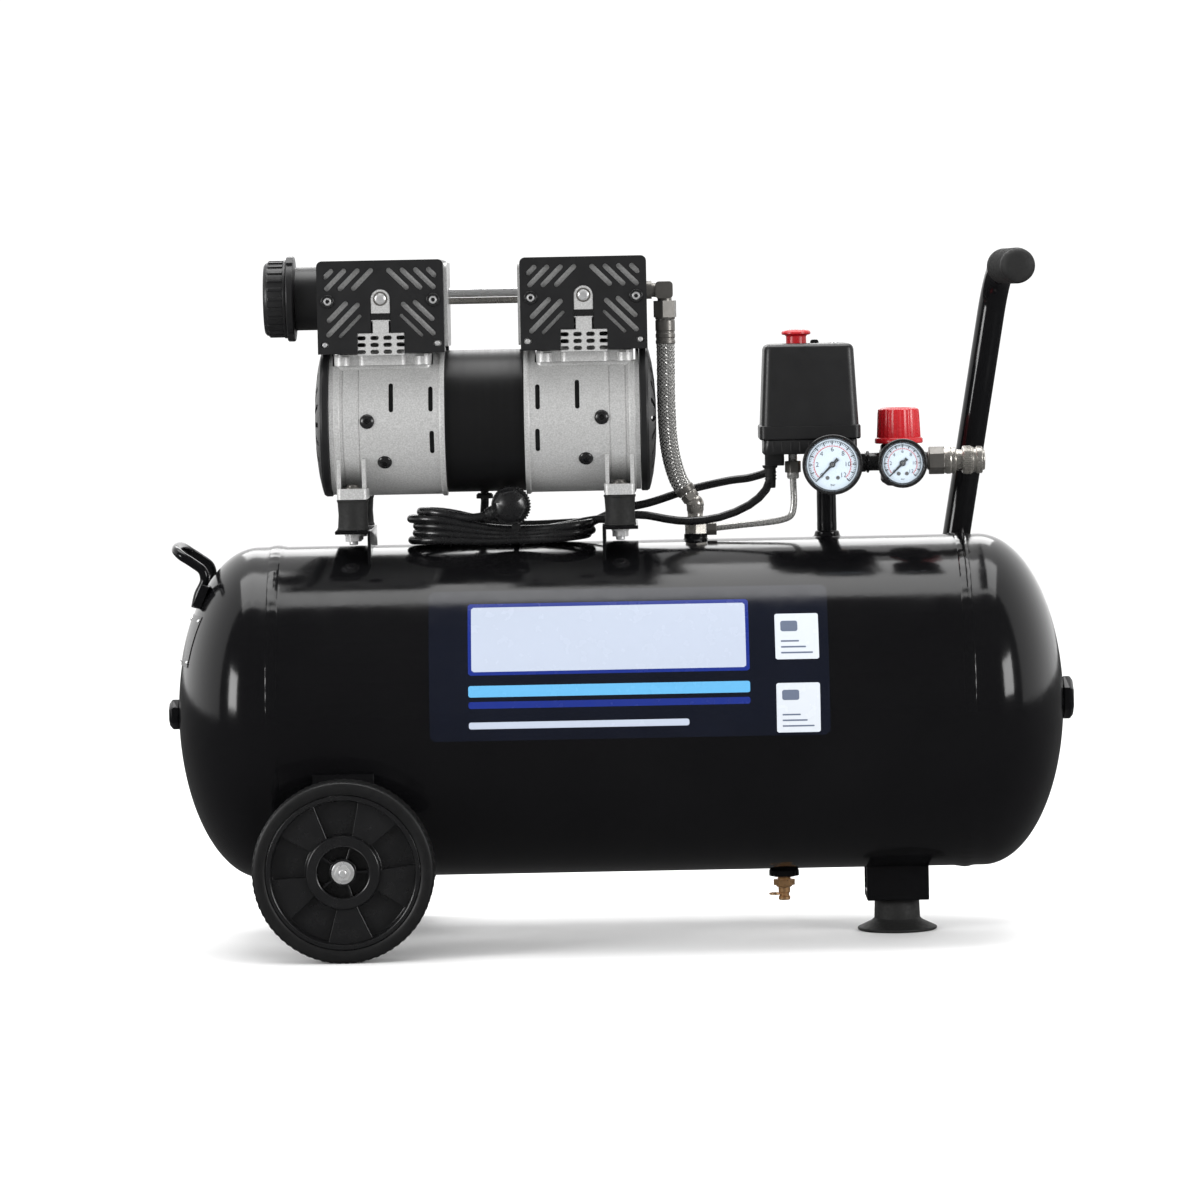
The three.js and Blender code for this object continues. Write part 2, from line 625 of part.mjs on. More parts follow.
function cylinder() {
  const [finFront, finRear] = [-50, 50];
  const fins = [69, 83].map((z) => box(-46, 46, finFront, finRear, z, z + 4));
  const face = -COVER_HALF_DEPTH + 0.6;
  const tab = plate('y', [
    [-TAB_HALF_WIDTH, 94], [TAB_HALF_WIDTH, 94],
    ...arc(0, TAB_TOP - TAB_HALF_WIDTH, TAB_HALF_WIDTH, 0, 180, 6),
  ], face, -45);
  const grille = box(-GRILLE_HALF_WIDTH, GRILLE_HALF_WIDTH, face, face + 3, COVER_BOTTOM - 1.6, GRILLE_TOP);
  const shelf = box(-GRILLE_HALF_WIDTH, GRILLE_HALF_WIDTH, face, -30, GRILLE_TOP - 2.4, GRILLE_TOP);
  const neck = box(-TAB_HALF_WIDTH, TAB_HALF_WIDTH, face, -30, GRILLE_TOP - 1, GRILLE_TOP + 6);
  const vents = [-17.4, -5.8, 5.8, 17.4].flatMap((x) => [64.5, 70.7, 76.9].map((z) =>
    plate('y', slotOutline([x - 1.7, z], [x + 1.7, z], 4, 1), face - 1, face + 5)));
  const casting = join(
    plate('z', roundedRect(-43.6, 43.6, -46, 46, 9, 2), SEAT_Z + GAP, COVER_BOTTOM - 0.8),
    bar('z', 27.4, 46, 56, [0, 0, 0], 16),
    bar('z', 33, 55, 100, [0, 0, 0], 16),
    ...fins,
    box(-49, 49, -52, 52, 96, 138),
    plate('x', roundedRect(-46, 52, COVER_BOTTOM + 5, COVER_TOP - 3, 6, 2), -BOSS_REACH, -47),
    tab, grille, shelf, neck,
  );
  const bore = bar('z', CYLINDER_BORE, 40, 90, [0, 0, 0], 16);
  return cut(casting, bore, ...vents);
}

// A piston with the upper part of its rod.
function piston() {
  return join(
    bar('z', CYLINDER_BORE - 0.5, 66, 80, [0, 0, 0], 16),
    box(-5, 5, -7, 7, 30, 68),
  );
}

// A plastic hood open at the bottom, slotted front and back, with a window for the casting's tab and grille.
function headCover(outerHoleRadius, outerHoleZ) {
  const outline = (inset) => [
    [COVER_HALF_WIDTH - inset, COVER_BOTTOM - inset],
    ...arc(COVER_HALF_WIDTH - 5, COVER_TOP - 5, 5 - inset, 0, 90, 2),
    ...arc(5 - COVER_HALF_WIDTH, COVER_TOP - 5, 5 - inset, 90, 180, 2),
    [inset - COVER_HALF_WIDTH, COVER_BOTTOM - inset],
  ];
  const hood = cut(
    plate('y', outline(0), -COVER_HALF_DEPTH, COVER_HALF_DEPTH),
    plate('y', outline(COVER_WALL), COVER_WALL - COVER_HALF_DEPTH, COVER_HALF_DEPTH - COVER_WALL),
  );
  const run = (x, drop, length, width) => {
    const step = length / Math.SQRT2;
    return [1, -1].map((side) => slotOutline(
      [side * (x + step), COVER_TOP - drop - step], [side * x, COVER_TOP - drop], width, 1));
  };
  const slots = [
    ...run(8, 9, 22, 4.4), ...run(20, 9, 22, 4.4), ...run(32, 9, 22, 4.4), ...run(43.5, 9, 7, 4.4),
    ...run(31, 38, 21, 4.4), ...run(20.5, 39.5, 37, 4.4), ...run(18.5, 49.5, 25, 3),
  ].map((slot) => plate('y', slot, -COVER_HALF_DEPTH - 5, COVER_HALF_DEPTH + 5));
  const window = TAB_HALF_WIDTH + 0.5;
  const tabWindow = plate('y', [
    [-window, COVER_BOTTOM - 5], [window, COVER_BOTTOM - 5],
    ...arc(0, TAB_TOP - TAB_HALF_WIDTH, window, 0, 180, 6),
  ], -COVER_HALF_DEPTH - 5, 0);
  const grilleEdge = GRILLE_HALF_WIDTH + 0.5;
  return cut(
    hood, ...slots, tabWindow,
    box(-grilleEdge, grilleEdge, -COVER_HALF_DEPTH - 5, 0, COVER_BOTTOM - 5, GRILLE_TOP + 0.5),
    box(-COVER_HALF_WIDTH - 5, -40, -46.6, 52.6, COVER_BOTTOM - 5, COVER_TOP - 2.6 + GAP),
    bar('x', outerHoleRadius, 40, COVER_HALF_WIDTH + 5, [0, 0, outerHoleZ], 20),
    bar('x', HOUSING_RADIUS + 2, 40, COVER_HALF_WIDTH + 5),
  );
}

const INTAKE_NECK_RADIUS = 28.5;
const ELBOW_Z = 584;
const ELBOW_RADIUS = 6.6;

pair(pump, 'cylinder', cylinder().translate(CYLINDER_OFFSET, 0, 0), castAluminium);
pair(pump, 'piston', piston().translate(CYLINDER_OFFSET, 0, 0), castAluminium);
const leftCover = headCover(INTAKE_NECK_RADIUS + 0.5, INTAKE_Z - PUMP_Z).translate(CYLINDER_OFFSET, 0, 0);
const rightCover = headCover(ELBOW_RADIUS + 2, ELBOW_Z - PUMP_Z).translate(CYLINDER_OFFSET, 0, 0);
node(pump, 'head_cover_left', mirrorX(leftCover), mattePlastic);
node(pump, 'head_cover_right', rightCover, mattePlastic);

// ---------------------------------------------------------------- air path on the pump

const intake = groupAt(PUMP_X - CYLINDER_OFFSET, 0, INTAKE_Z);

// The filter's base: a neck through the hood and the clamp flange.
function intakeBase() {
  return turned('x', [
    [24, -49.3], [INTAKE_NECK_RADIUS, -49.3], [INTAKE_NECK_RADIUS, -79.5],
    [38.4, -79.5], [38.4, -86.6], [24, -86.6],
  ], 20);
}

// The filter's twist cap: ribbed round its edge, with an open air inlet in the middle.
function intakeCap() {
  const shell = turned('x', [
    [33.4, -86.9], [33.4, -104], [31, -107], [10, -107], [10, -104.5], [29.6, -104.5], [29.6, -86.9],
  ], 20);
  const ribs = Array.from({ length: 8 }, (_, i) => {
    const rib = box(-105, -90, -1.6, 1.6, 31, 34.6);
    return rib.rotateX(i * Math.PI / 4);
  });
  return join(shell, ...ribs);
}

node(intake, 'intake_base', intakeBase(), mattePlastic);
node(intake, 'intake_cap', intakeCap(), mattePlastic);

const crossoverReach = CYLINDER_OFFSET - BOSS_REACH - GAP;
node(pump, 'crossover_tube_upper', bar('x', 4.4, -crossoverReach, crossoverReach, [0, 0, 116], 14), zinc);
node(pump, 'crossover_tube_lower', bar('x', 2.9, -crossoverReach, crossoverReach, [0, 0, 108.3], 14), nickel);

// The outlet elbow of the right head: an arm out of the hood, a corner and the hose nut.
function dischargeElbow() {
  const armStart = PUMP_X + CYLINDER_OFFSET + 49 + GAP;
  const x = HOSE_X;
  return join(
    bar('x', ELBOW_RADIUS, armStart, x, [0, 0, ELBOW_Z], 12),
    new THREE.SphereGeometry(8.2, 8, 6).translate(x, 0, ELBOW_Z),
    bar('z', 7, 560, ELBOW_Z, [x, 0, 0], 12),
    plate('z', hexagon(18), 557, 575.6).translate(x, 0, 0),
  );
}

const VALVE_HEAD_Z = 390;
const INLET_TILT = 0.6;             // the check valve's inlet leans this far (radians) towards -X

// A point on the inlet's axis, at a distance from the middle of the valve's head.
function onInlet(distance) {
  return [CHECK_VALVE_X - distance * Math.sin(INLET_TILT), 0, VALVE_HEAD_Z + distance * Math.cos(INLET_TILT)];
}

// The braided hose with its crimped ferrule.
function dischargeHose() {
  const hoseRadius = 8.1;
  const top = [HOSE_X, 0, 556.6];
  const run = smoothCurve([
    top, [46.4, 0, 520], [46.2, 0, 480], [47.8, 0, 446], [51.6, 0, 425], onInlet(24), onInlet(12 + GAP),
  ]);
  return join(
    sweptBar(run, hoseRadius, 12, 10),
    bar('z', hoseRadius + 0.6, 535, 556.7, [HOSE_X, 0, 0], 12),
  );
}

// The check valve in the receiver: an elbow at its head, a body and the hexagon that screws it in.
function checkValve() {
  const inlet = bar('z', 7, 0, 12, [0, 0, 0], 10).rotateY(-INLET_TILT);
  return join(
    new THREE.SphereGeometry(8, 8, 6).translate(0, 0, VALVE_HEAD_Z),
    inlet.translate(0, 0, VALVE_HEAD_Z),
    bar('z', 7.6, 368, VALVE_HEAD_Z + 1, [0, 0, 0], 12),
    plate('z', hexagon(19, 0, 0, 30), 362.5, 372),
    bar('z', 10.5, TANK_TOP_Z + GAP, 363, [0, 0, 0], 12),
    bar('z', 6.8, TANK_TOP_Z - 9, TANK_TOP_Z + 2, [0, 0, 0], 12),
  ).translate(CHECK_VALVE_X, 0, 0);
}

// The thin unloader line from the check valve to the pressure switch, with its top nut.
function unloaderTube() {
  const line = smoothCurve([
    [CHECK_VALVE_X + 11, 0, 367.4], [CHECK_VALVE_X + 40, 0, 370], [150, 0, 374.4],
    [157, 0, 378], [UNLOADER_X, 0, 386], [UNLOADER_X, 0, 414],
  ]);
  return join(
    sweptBar(line, 3, 16, 6),
    plate('z', hexagon(13), 414.6, 427).translate(UNLOADER_X, 0, 0),
    bar('z', 5.2, 411, 416, [UNLOADER_X, 0, 0], 8),
    bar('z', 4, 426, SWITCH_BASE_Z - GAP, [UNLOADER_X, 0, 0], 8),
  );
}

node(receiver, 'discharge_elbow', dischargeElbow(), nickel);
node(receiver, 'discharge_hose', dischargeHose(), zinc);
node(receiver, 'check_valve', checkValve(), nickel);
node(receiver, 'unloader_tube', unloaderTube(), zinc);

// ---------------------------------------------------------------- pressure switch and regulator

// The pipe that carries the switch and the manifold, with its lock nut on the receiver.
function riserPipe() {
  return join(
    bar('z', 8.8, TANK_TOP_Z - 9, MANIFOLD_Z - 13 - GAP, [0, 0, 0], 16),
    plate('z', hexagon(22.5), TANK_TOP_Z + 0.6, TANK_TOP_Z + 5.4),
  ).translate(RISER_X, 0, 0);
}

// The four-way manifold under the switch, with the pipe to the regulator and the safety valve's body behind.
function manifold() {
  const regulatorSide = REGULATOR_X - 17 - GAP;
  const block = join(
    box(RISER_X - 13, RISER_X + 13, -13, 13, MANIFOLD_Z - 13, SWITCH_BASE_Z - GAP),
    bar('x', 8.2, RISER_X + 10, regulatorSide, [0, 0, MANIFOLD_Z], 12),
    plate('x', hexagon(17, 0, MANIFOLD_Z), RISER_X + 27, RISER_X + 36),
    bar('y', 6.5, 12, 30, [RISER_X, 0, MANIFOLD_Z], 12),
    plate('y', hexagon(17, RISER_X, MANIFOLD_Z), 18, 30),
    bar('y', 7, 29, 44, [RISER_X, 0, MANIFOLD_Z], 12),
  );
  return cut(block, bar('y', 2.6, 24, 50, [RISER_X, 0, MANIFOLD_Z], 12));
}

// The safety valve's pull ring and its stem.
function safetyRing() {
  const ring = new THREE.TorusGeometry(9, 1, 5, 14).rotateY(Math.PI / 2).translate(RISER_X, 61, MANIFOLD_Z);
  return join(bar('y', 2, 26, 53, [RISER_X, 0, MANIFOLD_Z], 8), ring);
}

// The switch's base plate, with the gland block that both cables leave by.
function switchBase() {
  const halfWidth = 42;
  const glandEnd = UNLOADER_X - 8;
  return join(
    plate('z', roundedRect(SWITCH_X - halfWidth, SWITCH_X + halfWidth, -36, 36, 5),
      SWITCH_BASE_Z, SWITCH_RIM_Z - GAP),
    plate('z', roundedRect(GLAND_X - 4.5, glandEnd, -15, 15, 3), GLAND_Z, SWITCH_BASE_Z + 1),
  );
}

// The switch's cover: a tapered hood with rounded top edges, a skirt and a hole for the button.
function switchCover() {
  const rounding = 5;
  const taper = 0.0013;             // how much wider the hood grows for each millimetre down
  const hood = (inset) => {
    const outline = roundedRect(-36 + inset, 36 - inset, -32 + inset, 32 - inset, 5, 2)
      .map(([x, y]) => new THREE.Vector2(x, y));
    const geometry = new THREE.ExtrudeGeometry(new THREE.Shape(outline), {
      depth: 90, bevelEnabled: true, bevelThickness: rounding, bevelSize: rounding - 1, bevelSegments: 2,
    });
    geometry.translate(0, 0, SWITCH_TOP_Z - rounding - inset - 90);
    const position = geometry.getAttribute('position');
    for (let i = 0; i < position.count; i += 1) {
      const drop = SWITCH_TOP_Z - position.getZ(i);
      position.setXY(i, position.getX(i) * (1 + taper * drop), position.getY(i) * (1 + taper * drop / 2));
    }
    return geometry;
  };
  const skirt = plate('z', roundedRect(-45.4, 45.4, -38, 38, 6), SWITCH_RIM_Z, SWITCH_RIM_Z + 14);
  const bottomCut = box(-80, 80, -80, 80, SWITCH_RIM_Z - 60, SWITCH_RIM_Z);
  return cut(
    join(hood(0), skirt), hood(3), bottomCut,
    bar('z', 10, SWITCH_TOP_Z - 20, SWITCH_TOP_Z + 5, [BUTTON_X - SWITCH_X, 0, 0], 16),
  ).translate(SWITCH_X, 0, 0);
}

function switchButton() {
  return turned('z', [
    [0, 512], [9.2, 512], [9.2, 541], [13.2, 541], [13.2, 544], [10.4, 545.8], [0, 545.8],
  ], 16, [BUTTON_X, 0, 0]);
}

// The regulator's body: a round casting, with a bonnet that the knob turns on.
function regulatorBody() {
  return join(
    turned('z', [
      [0, 403], [12, 403], [17, 407], [17, 440.6], [14.4, 440.6], [14.4, 464], [0, 464],
    ], 18, [REGULATOR_X, 0, 0]),
    bar('x', 8.2, REGULATOR_X + 15, REGULATOR_X + 25, [0, 0, MANIFOLD_Z], 12),
  );
}

function regulatorKnob() {
  const ribs = 14;
  const grip = Array.from({ length: ribs * 2 }, (_, i) => {
    const angle = Math.PI * i / ribs;
    const radius = i % 2 ? 19.4 : 18.6;
    return [radius * Math.cos(angle), radius * Math.sin(angle)];
  });
  return cut(
    join(
      plate('z', grip, 444, 473),
      turned('z', [[0, 441.2], [21.8, 441.2], [21.8, 445.6], [20.4, 447], [0, 447]], 20),
    ),
    bar('z', 15.2, 440, 465, [0, 0, 0], 16),
  ).translate(REGULATOR_X, 0, 0);
}

node(receiver, 'riser_pipe', riserPipe(), blackPaint);
node(receiver, 'manifold', manifold(), nickel);
node(receiver, 'safety_ring', safetyRing(), zinc);
node(receiver, 'switch_base', switchBase(), mattePlastic);
node(receiver, 'switch_cover', switchCover(), mattePlastic);
node(receiver, 'switch_button', switchButton(), redPlastic);
node(receiver, 'regulator_body', regulatorBody(), mattePlastic);
node(receiver, 'regulator_knob', regulatorKnob(), redPlastic);

// ---------------------------------------------------------------- pressure gauges

const DIAL_Y = -62;                 // face of both dials
const ZERO_DEG = 225;               // where the pointers rest, seen from the front

// A cup with a flat dial floor, a bezel, a back stem and the pointer's pivot pin.
function gaugeCase(bezelRadius, stemEnd) {
  const wall = bezelRadius - 1.6;
  return join(
    turned('y', [
      [0, DIAL_Y], [wall - 2, DIAL_Y], [wall - 2, DIAL_Y - 5], [bezelRadius, DIAL_Y - 5],
      [bezelRadius, DIAL_Y], [wall, DIAL_Y + 1], [wall, DIAL_Y + 23], [0, DIAL_Y + 23],
    ], 24),
    bar('y', 6.2, DIAL_Y + 22, stemEnd - GAP, [0, 0, 0], 10),
    bar('y', 0.9, DIAL_Y - 2.4, DIAL_Y + 1, [0, 0, 0], 8),
  );
}

// A pointer with a tapered tip and a blunt tail, lying along +X before it is turned to zero.
function gaugePointer(length) {
  const outline = [
    [length, 0.35], [2.2, 1.1], ...arc(0, 0, 2.8, 30, 150, 3), [-3, 1.1], [-0.36 * length, 1.7],
    [-0.36 * length, -1.7], [-3, -1.1], ...arc(0, 0, 2.8, 210, 330, 3), [2.2, -1.1], [length, -0.35],
  ];
  const pointer = cut(
    plate('y', outline, DIAL_Y - 1.3, DIAL_Y - 0.5),
    bar('y', 1.4, DIAL_Y - 5, DIAL_Y + 5, [0, 0, 0], 8),
  );
  return pointer.rotateY(-THREE.MathUtils.degToRad(ZERO_DEG));
}

function gauge(name, x, bezelRadius, stemEnd) {
  const group = groupAt(x, 0, MANIFOLD_Z);
  node(group, name, gaugeCase(bezelRadius, stemEnd), blackPaint);
  node(group, `${name}_needle`, gaugePointer(bezelRadius * 0.72), pointerBlack);
}

gauge('gauge_large', LARGE_GAUGE_X, 27, -13);
gauge('gauge_small', REGULATOR_X, 22, -17);

// ---------------------------------------------------------------- hose coupler

const coupler = groupAt(COUPLER_X, 0, MANIFOLD_Z);
const COUPLER_BORE = 6;

// The coupler's hexagon and its barrel, bored for the hose's plug.
function couplerBody() {
  const hexStart = REGULATOR_X + 25 + GAP - COUPLER_X;
  return cut(
    join(
      plate('x', hexagon(22, 0, 0, 30), hexStart, -1.6),
      turned('x', [[0, -2], [10.5, -2], [12.4, 0], [12.4, 7.4], [9.4, 8], [9.4, 33], [0, 33]], 16),
    ),
    bar('x', COUPLER_BORE, 4, 40, [0, 0, 0], 12),
  );
}

// The sliding sleeve that frees the plug when it is pulled back.
function couplerSleeve() {
  return turned('x', [
    [10, 12.6], [12.3, 12.6], [12.3, 22], [11.2, 22.8], [11.2, 24.6],
    [12.3, 25.4], [12.3, 30.8], [10, 30.8],
  ], 16);
}

node(coupler, 'coupler_body', couplerBody(), nickel);
node(coupler, 'coupler_sleeve', couplerSleeve(), nickel);

// ---------------------------------------------------------------- cables

// The motor's lead: out of the switch, behind the discharge hose, under the motor and up into the stator.
function motorCable() {
  const statorX = PUMP_X - 3;
  const route = smoothCurve([
    [GLAND_X, 7, GLAND_Z - GAP], [GLAND_X, 7, 419], [122, 11, 412.6], [102, 13, 410], [66, 16, 402.4],
    [30, 10, 391.6], [4, 10, 386], [-20, 20, 376], [-44, 29, 364], [-80, 31, 359.6], [-106, 29, 362.6],
    [statorX, 21, 380], [statorX, 16, 396], [statorX, 16, 405.6],
  ]);
  return sweptBar(route, CABLE_RADIUS, 24, 8);
}

const HANK_RIGHT = -17;

// The mains cord from the switch to the tied hank on the receiver.
function cordTube() {
  const route = smoothCurve([
    [GLAND_X, -8, GLAND_Z - GAP], [GLAND_X, -8, 416], [134.6, -11, 402], [119, -14, 388.4], [92, -16, 378],
    [65, -16.4, 375], [44, -16, 377.4], [27, -15.6, 381], [10, -15, 381.4], [-6, -15, 378.6],
    [HANK_RIGHT + GAP, -15, 378.4],
  ]);
  return sweptBar(route, CABLE_RADIUS, 20, 8);
}

// The outer shape of the tied hank: pinched where it is tied, fanned out at both ends.
function cordHank() {
  const [left, front, rear, floor] = [-191, -44, 14, 340];
  const outline = [
    [HANK_RIGHT, floor], [HANK_RIGHT, 383], [-40, 381], [-72, 374.8], [-112, 374.8], [-134, 383],
    [-160, 393], [-184, 396], [left, 391], [left, floor],
  ];
  const surround = cut(
    box(left - 20, HANK_RIGHT + 20, front - 20, rear + 20, floor - 10, 420),
    plate('z', roundedRect(left, HANK_RIGHT, front, rear, 24, 3), floor - 20, 430),
  );
  return cut(plate('y', outline, front, rear), surround, tankEnvelope(2 * GAP));
}

// A round angled mains plug, its pins to the rear and its neck towards the hank.
function powerPlug() {
  const centre = [-95.5, 0, 393.4];
  const body = turned('y', [
    [0, -60], [9, -60], [14.4, -57], [17.4, -52], [17.4, -34], [15.4, -31.6], [0, -31.6],
  ], 16, centre);
  const neck = bar('z', 6, -24, -8, [0, 0, 0], 10).rotateY(1.19).translate(centre[0], -46, centre[2]);
  const pins = [-9.5, 9.5].map((x) => bar('y', 2.4, -33, -13, [centre[0] + x, 0, centre[2] - 2], 8));
  return join(body, neck, ...pins);
}

node(receiver, 'motor_cable', motorCable(), blackRubber);
node(receiver, 'cord_tube', cordTube(), blackRubber);
node(receiver, 'cord_hank', cordHank(), blackRubber);
node(receiver, 'power_plug', powerPlug(), blackRubber);

export default compressor;
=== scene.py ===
# A twin-cylinder oil-free air compressor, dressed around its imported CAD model.
# Shapes are worked out in millimetres and turned into metres as each piece is made.
# +X runs along the receiver towards the hose coupler, -Y is the front and +Z is up.

import json
import math

import bmesh
import bpy
from mathutils import Matrix, Vector

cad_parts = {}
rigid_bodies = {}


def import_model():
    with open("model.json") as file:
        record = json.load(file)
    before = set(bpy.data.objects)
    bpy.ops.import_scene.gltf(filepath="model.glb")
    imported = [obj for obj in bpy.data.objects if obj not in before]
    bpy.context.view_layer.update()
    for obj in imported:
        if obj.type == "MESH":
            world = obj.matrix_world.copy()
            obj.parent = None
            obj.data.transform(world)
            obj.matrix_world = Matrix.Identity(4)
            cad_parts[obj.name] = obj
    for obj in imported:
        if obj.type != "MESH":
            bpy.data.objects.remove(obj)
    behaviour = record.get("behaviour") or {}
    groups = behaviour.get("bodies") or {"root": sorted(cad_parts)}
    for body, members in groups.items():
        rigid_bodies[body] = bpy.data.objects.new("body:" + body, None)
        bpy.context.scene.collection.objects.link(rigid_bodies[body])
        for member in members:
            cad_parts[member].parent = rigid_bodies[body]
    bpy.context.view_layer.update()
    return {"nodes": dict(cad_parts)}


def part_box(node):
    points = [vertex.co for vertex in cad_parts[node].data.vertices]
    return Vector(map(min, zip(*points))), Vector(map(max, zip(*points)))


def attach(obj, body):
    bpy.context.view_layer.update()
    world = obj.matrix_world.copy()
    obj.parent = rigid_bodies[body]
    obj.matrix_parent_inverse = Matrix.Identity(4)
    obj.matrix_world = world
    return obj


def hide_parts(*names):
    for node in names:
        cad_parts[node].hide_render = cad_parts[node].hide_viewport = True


for leftover in list(bpy.data.objects):
    bpy.data.objects.remove(leftover)

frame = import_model()

MM = 0.001
TURN = 2 * math.pi


# ---------------------------------------------------------------- sizes read from the frame

class Box:
    """The box of a CAD node at rest, in millimetres."""

    def __init__(self, node):
        low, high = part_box(node)
        self.lo = low / MM
        self.hi = high / MM
        self.mid = (self.lo + self.hi) / 2
        self.size = self.hi - self.lo


STATOR = Box("stator")
PUMP_X = STATOR.mid.x
PUMP_Z = STATOR.mid.z
TANK_RADIUS = 150
TANK_AXIS_Z = Box("end_plug_right").mid.z
TANK_HALF_LENGTH = Box("tank").hi.x
DOME_DEPTH = TANK_RADIUS / 2
RIM_X = 400 - DOME_DEPTH
SEAM_X = 308
TANK_TOP_Z = TANK_AXIS_Z + TANK_RADIUS
WHEEL = Box("tyre_front")
FOOT = Box("rubber_foot")
DRAIN_X = Box("drain_body").mid.x
RISER_X = Box("riser_pipe").mid.x
COVER = Box("switch_cover")
BUTTON = Box("switch_button")
KNOB = Box("regulator_knob")
MANIFOLD_Z = Box("gauge_large").mid.z
HOUSING = Box("motor_housing_right")
HOOD = Box("head_cover_right")
CYLINDER_OFFSET = HOOD.mid.x - PUMP_X
MOUNT_OFFSET = Box("rubber_mount_front_right").mid.x - PUMP_X
MOUNT_Y = Box("rubber_mount_rear_right").mid.y
BRACKET_TOP_Z = Box("pump_bracket_right").hi.z
FOOT_PAD_Z = 402
CHECK_VALVE_X = 70.5
UNLOADER_X = 159.5
CABLE_RADIUS = 3.75


def tank_height(y):
    """How high the receiver's surface is at a distance from its middle plane."""
    return TANK_AXIS_Z + math.sqrt(TANK_RADIUS ** 2 - y ** 2)


# ---------------------------------------------------------------- camera

CAMERA_PLACE = (0.0065, -5.0, 0.584)
CAMERA_LENS = 165.9
CAMERA_HEADING, CAMERA_DOWNWARD, CAMERA_ROLL = 0.272, 3.2, -1.13


def make_camera():
    data = bpy.data.cameras.new("camera")
    data.sensor_width = 36
    data.lens = CAMERA_LENS
    data.clip_end = 60
    camera = bpy.data.objects.new("camera", data)
    bpy.context.scene.collection.objects.link(camera)
    heading, downward, roll = (math.radians(a) for a in (CAMERA_HEADING, CAMERA_DOWNWARD, CAMERA_ROLL))
    turn = Matrix.Rotation(heading, 4, "Z") @ Matrix.Rotation(math.pi / 2 - downward, 4, "X")
    camera.matrix_world = Matrix.Translation(CAMERA_PLACE) @ turn @ Matrix.Rotation(roll, 4, "Z")
    bpy.context.scene.camera = camera


make_camera()


# ---------------------------------------------------------------- material tools

class Look:
    """A node material in the making, with short ways to add textures."""

    def __init__(self, name):
        self.material = bpy.data.materials.new(name)
        self.material.use_nodes = True
        self.tree = self.material.node_tree
        self.shader = self.tree.nodes["Principled BSDF"]
        self.place = self.tree.nodes.new("ShaderNodeTexCoord").outputs["Object"]

    def link(self, source, target):
        self.tree.links.new(source, target)

    def set(self, **values):
        for name, value in values.items():
            self.shader.inputs[name.replace("_", " ")].default_value = value

    def stretched(self, x, y, z):
        """Object coordinates scaled apart, for brushed or ringed finishes."""
        mapping = self.tree.nodes.new("ShaderNodeMapping")
        mapping.inputs["Scale"].default_value = (x, y, z)
        self.link(self.place, mapping.inputs["Vector"])
        return mapping.outputs["Vector"]

    def noise(self, scale, detail=3, place=None):
        texture = self.tree.nodes.new("ShaderNodeTexNoise")
        texture.inputs["Scale"].default_value = scale
        texture.inputs["Detail"].default_value = detail
        self.link(place or self.place, texture.inputs["Vector"])
        return texture.outputs["Fac"]

    def bands(self, scale):
        """Even light and dark stripes along X: painted shade of pleats."""
        texture = self.tree.nodes.new("ShaderNodeTexWave")
        texture.inputs["Scale"].default_value = scale
        self.link(self.place, texture.inputs["Vector"])
        return texture.outputs["Fac"]

    def ranged(self, value, low, high, start=0.3, end=0.7):
        node = self.tree.nodes.new("ShaderNodeMapRange")
        for name, number in (("From Min", start), ("From Max", end), ("To Min", low), ("To Max", high)):
            node.inputs[name].default_value = number
        self.link(value, node.inputs["Value"])
        return node.outputs["Result"]

    def colours(self, value, low, high):
        mix = self.tree.nodes.new("ShaderNodeMix")
        mix.data_type = "RGBA"
        mix.inputs["A"].default_value = (*low, 1)
        mix.inputs["B"].default_value = (*high, 1)
        self.link(value, mix.inputs["Factor"])
        self.link(mix.outputs["Result"], self.shader.inputs["Base Color"])

    def roughness(self, value, low, high):
        self.link(self.ranged(value, low, high), self.shader.inputs["Roughness"])

    def bump(self, height, strength, distance):
        bump = self.tree.nodes.new("ShaderNodeBump")
        bump.inputs["Strength"].default_value = strength
        bump.inputs["Distance"].default_value = distance
        self.link(height, bump.inputs["Height"])
        self.link(bump.outputs["Normal"], self.shader.inputs["Normal"])


def grey(level):
    return (level, level, level)


# ---------------------------------------------------------------- materials, one function for each slot

def black_paint(look):
    """Gloss stove enamel with faint orange peel and a little dust."""
    look.set(Specular_IOR_Level=0.28)
    look.colours(look.noise(9), (0.0022, 0.0022, 0.0026), (0.0044, 0.0044, 0.0048))
    look.roughness(look.noise(40, 5), 0.1, 0.17)
    look.bump(look.noise(170, 2), 0.05, 0.0006)


def black_plastic(look):
    """Moulded glass-filled nylon with a fine spark texture."""
    look.set(Specular_IOR_Level=0.42)
    look.colours(look.noise(60), (0.0075, 0.0075, 0.008), (0.0125, 0.0125, 0.013))
    look.roughness(look.noise(700), 0.32, 0.44)
    look.bump(look.noise(1400, 2), 0.14, 0.0001)


def wheel_plastic(look):
    """Glossier moulded plastic, with faint scuffs."""
    look.set(Specular_IOR_Level=0.5)
    look.colours(look.noise(45), (0.0048, 0.0048, 0.0052), (0.009, 0.009, 0.0094))
    look.roughness(look.noise(90, 5), 0.17, 0.3)
    look.bump(look.noise(500, 2), 0.08, 0.0001)


def black_rubber(look):
    look.set(Specular_IOR_Level=0.35)
    look.colours(look.noise(50), (0.0075, 0.0075, 0.0075), (0.014, 0.014, 0.0135))
    look.roughness(look.noise(300), 0.55, 0.75)
    look.bump(look.noise(1100), 0.25, 0.00015)


def tyre(look):
    look.set(Specular_IOR_Level=0.35)
    look.colours(look.noise(70), (0.0036, 0.0036, 0.004), (0.007, 0.007, 0.0072))
    look.roughness(look.noise(200), 0.38, 0.52)
    look.bump(look.noise(900), 0.2, 0.00015)


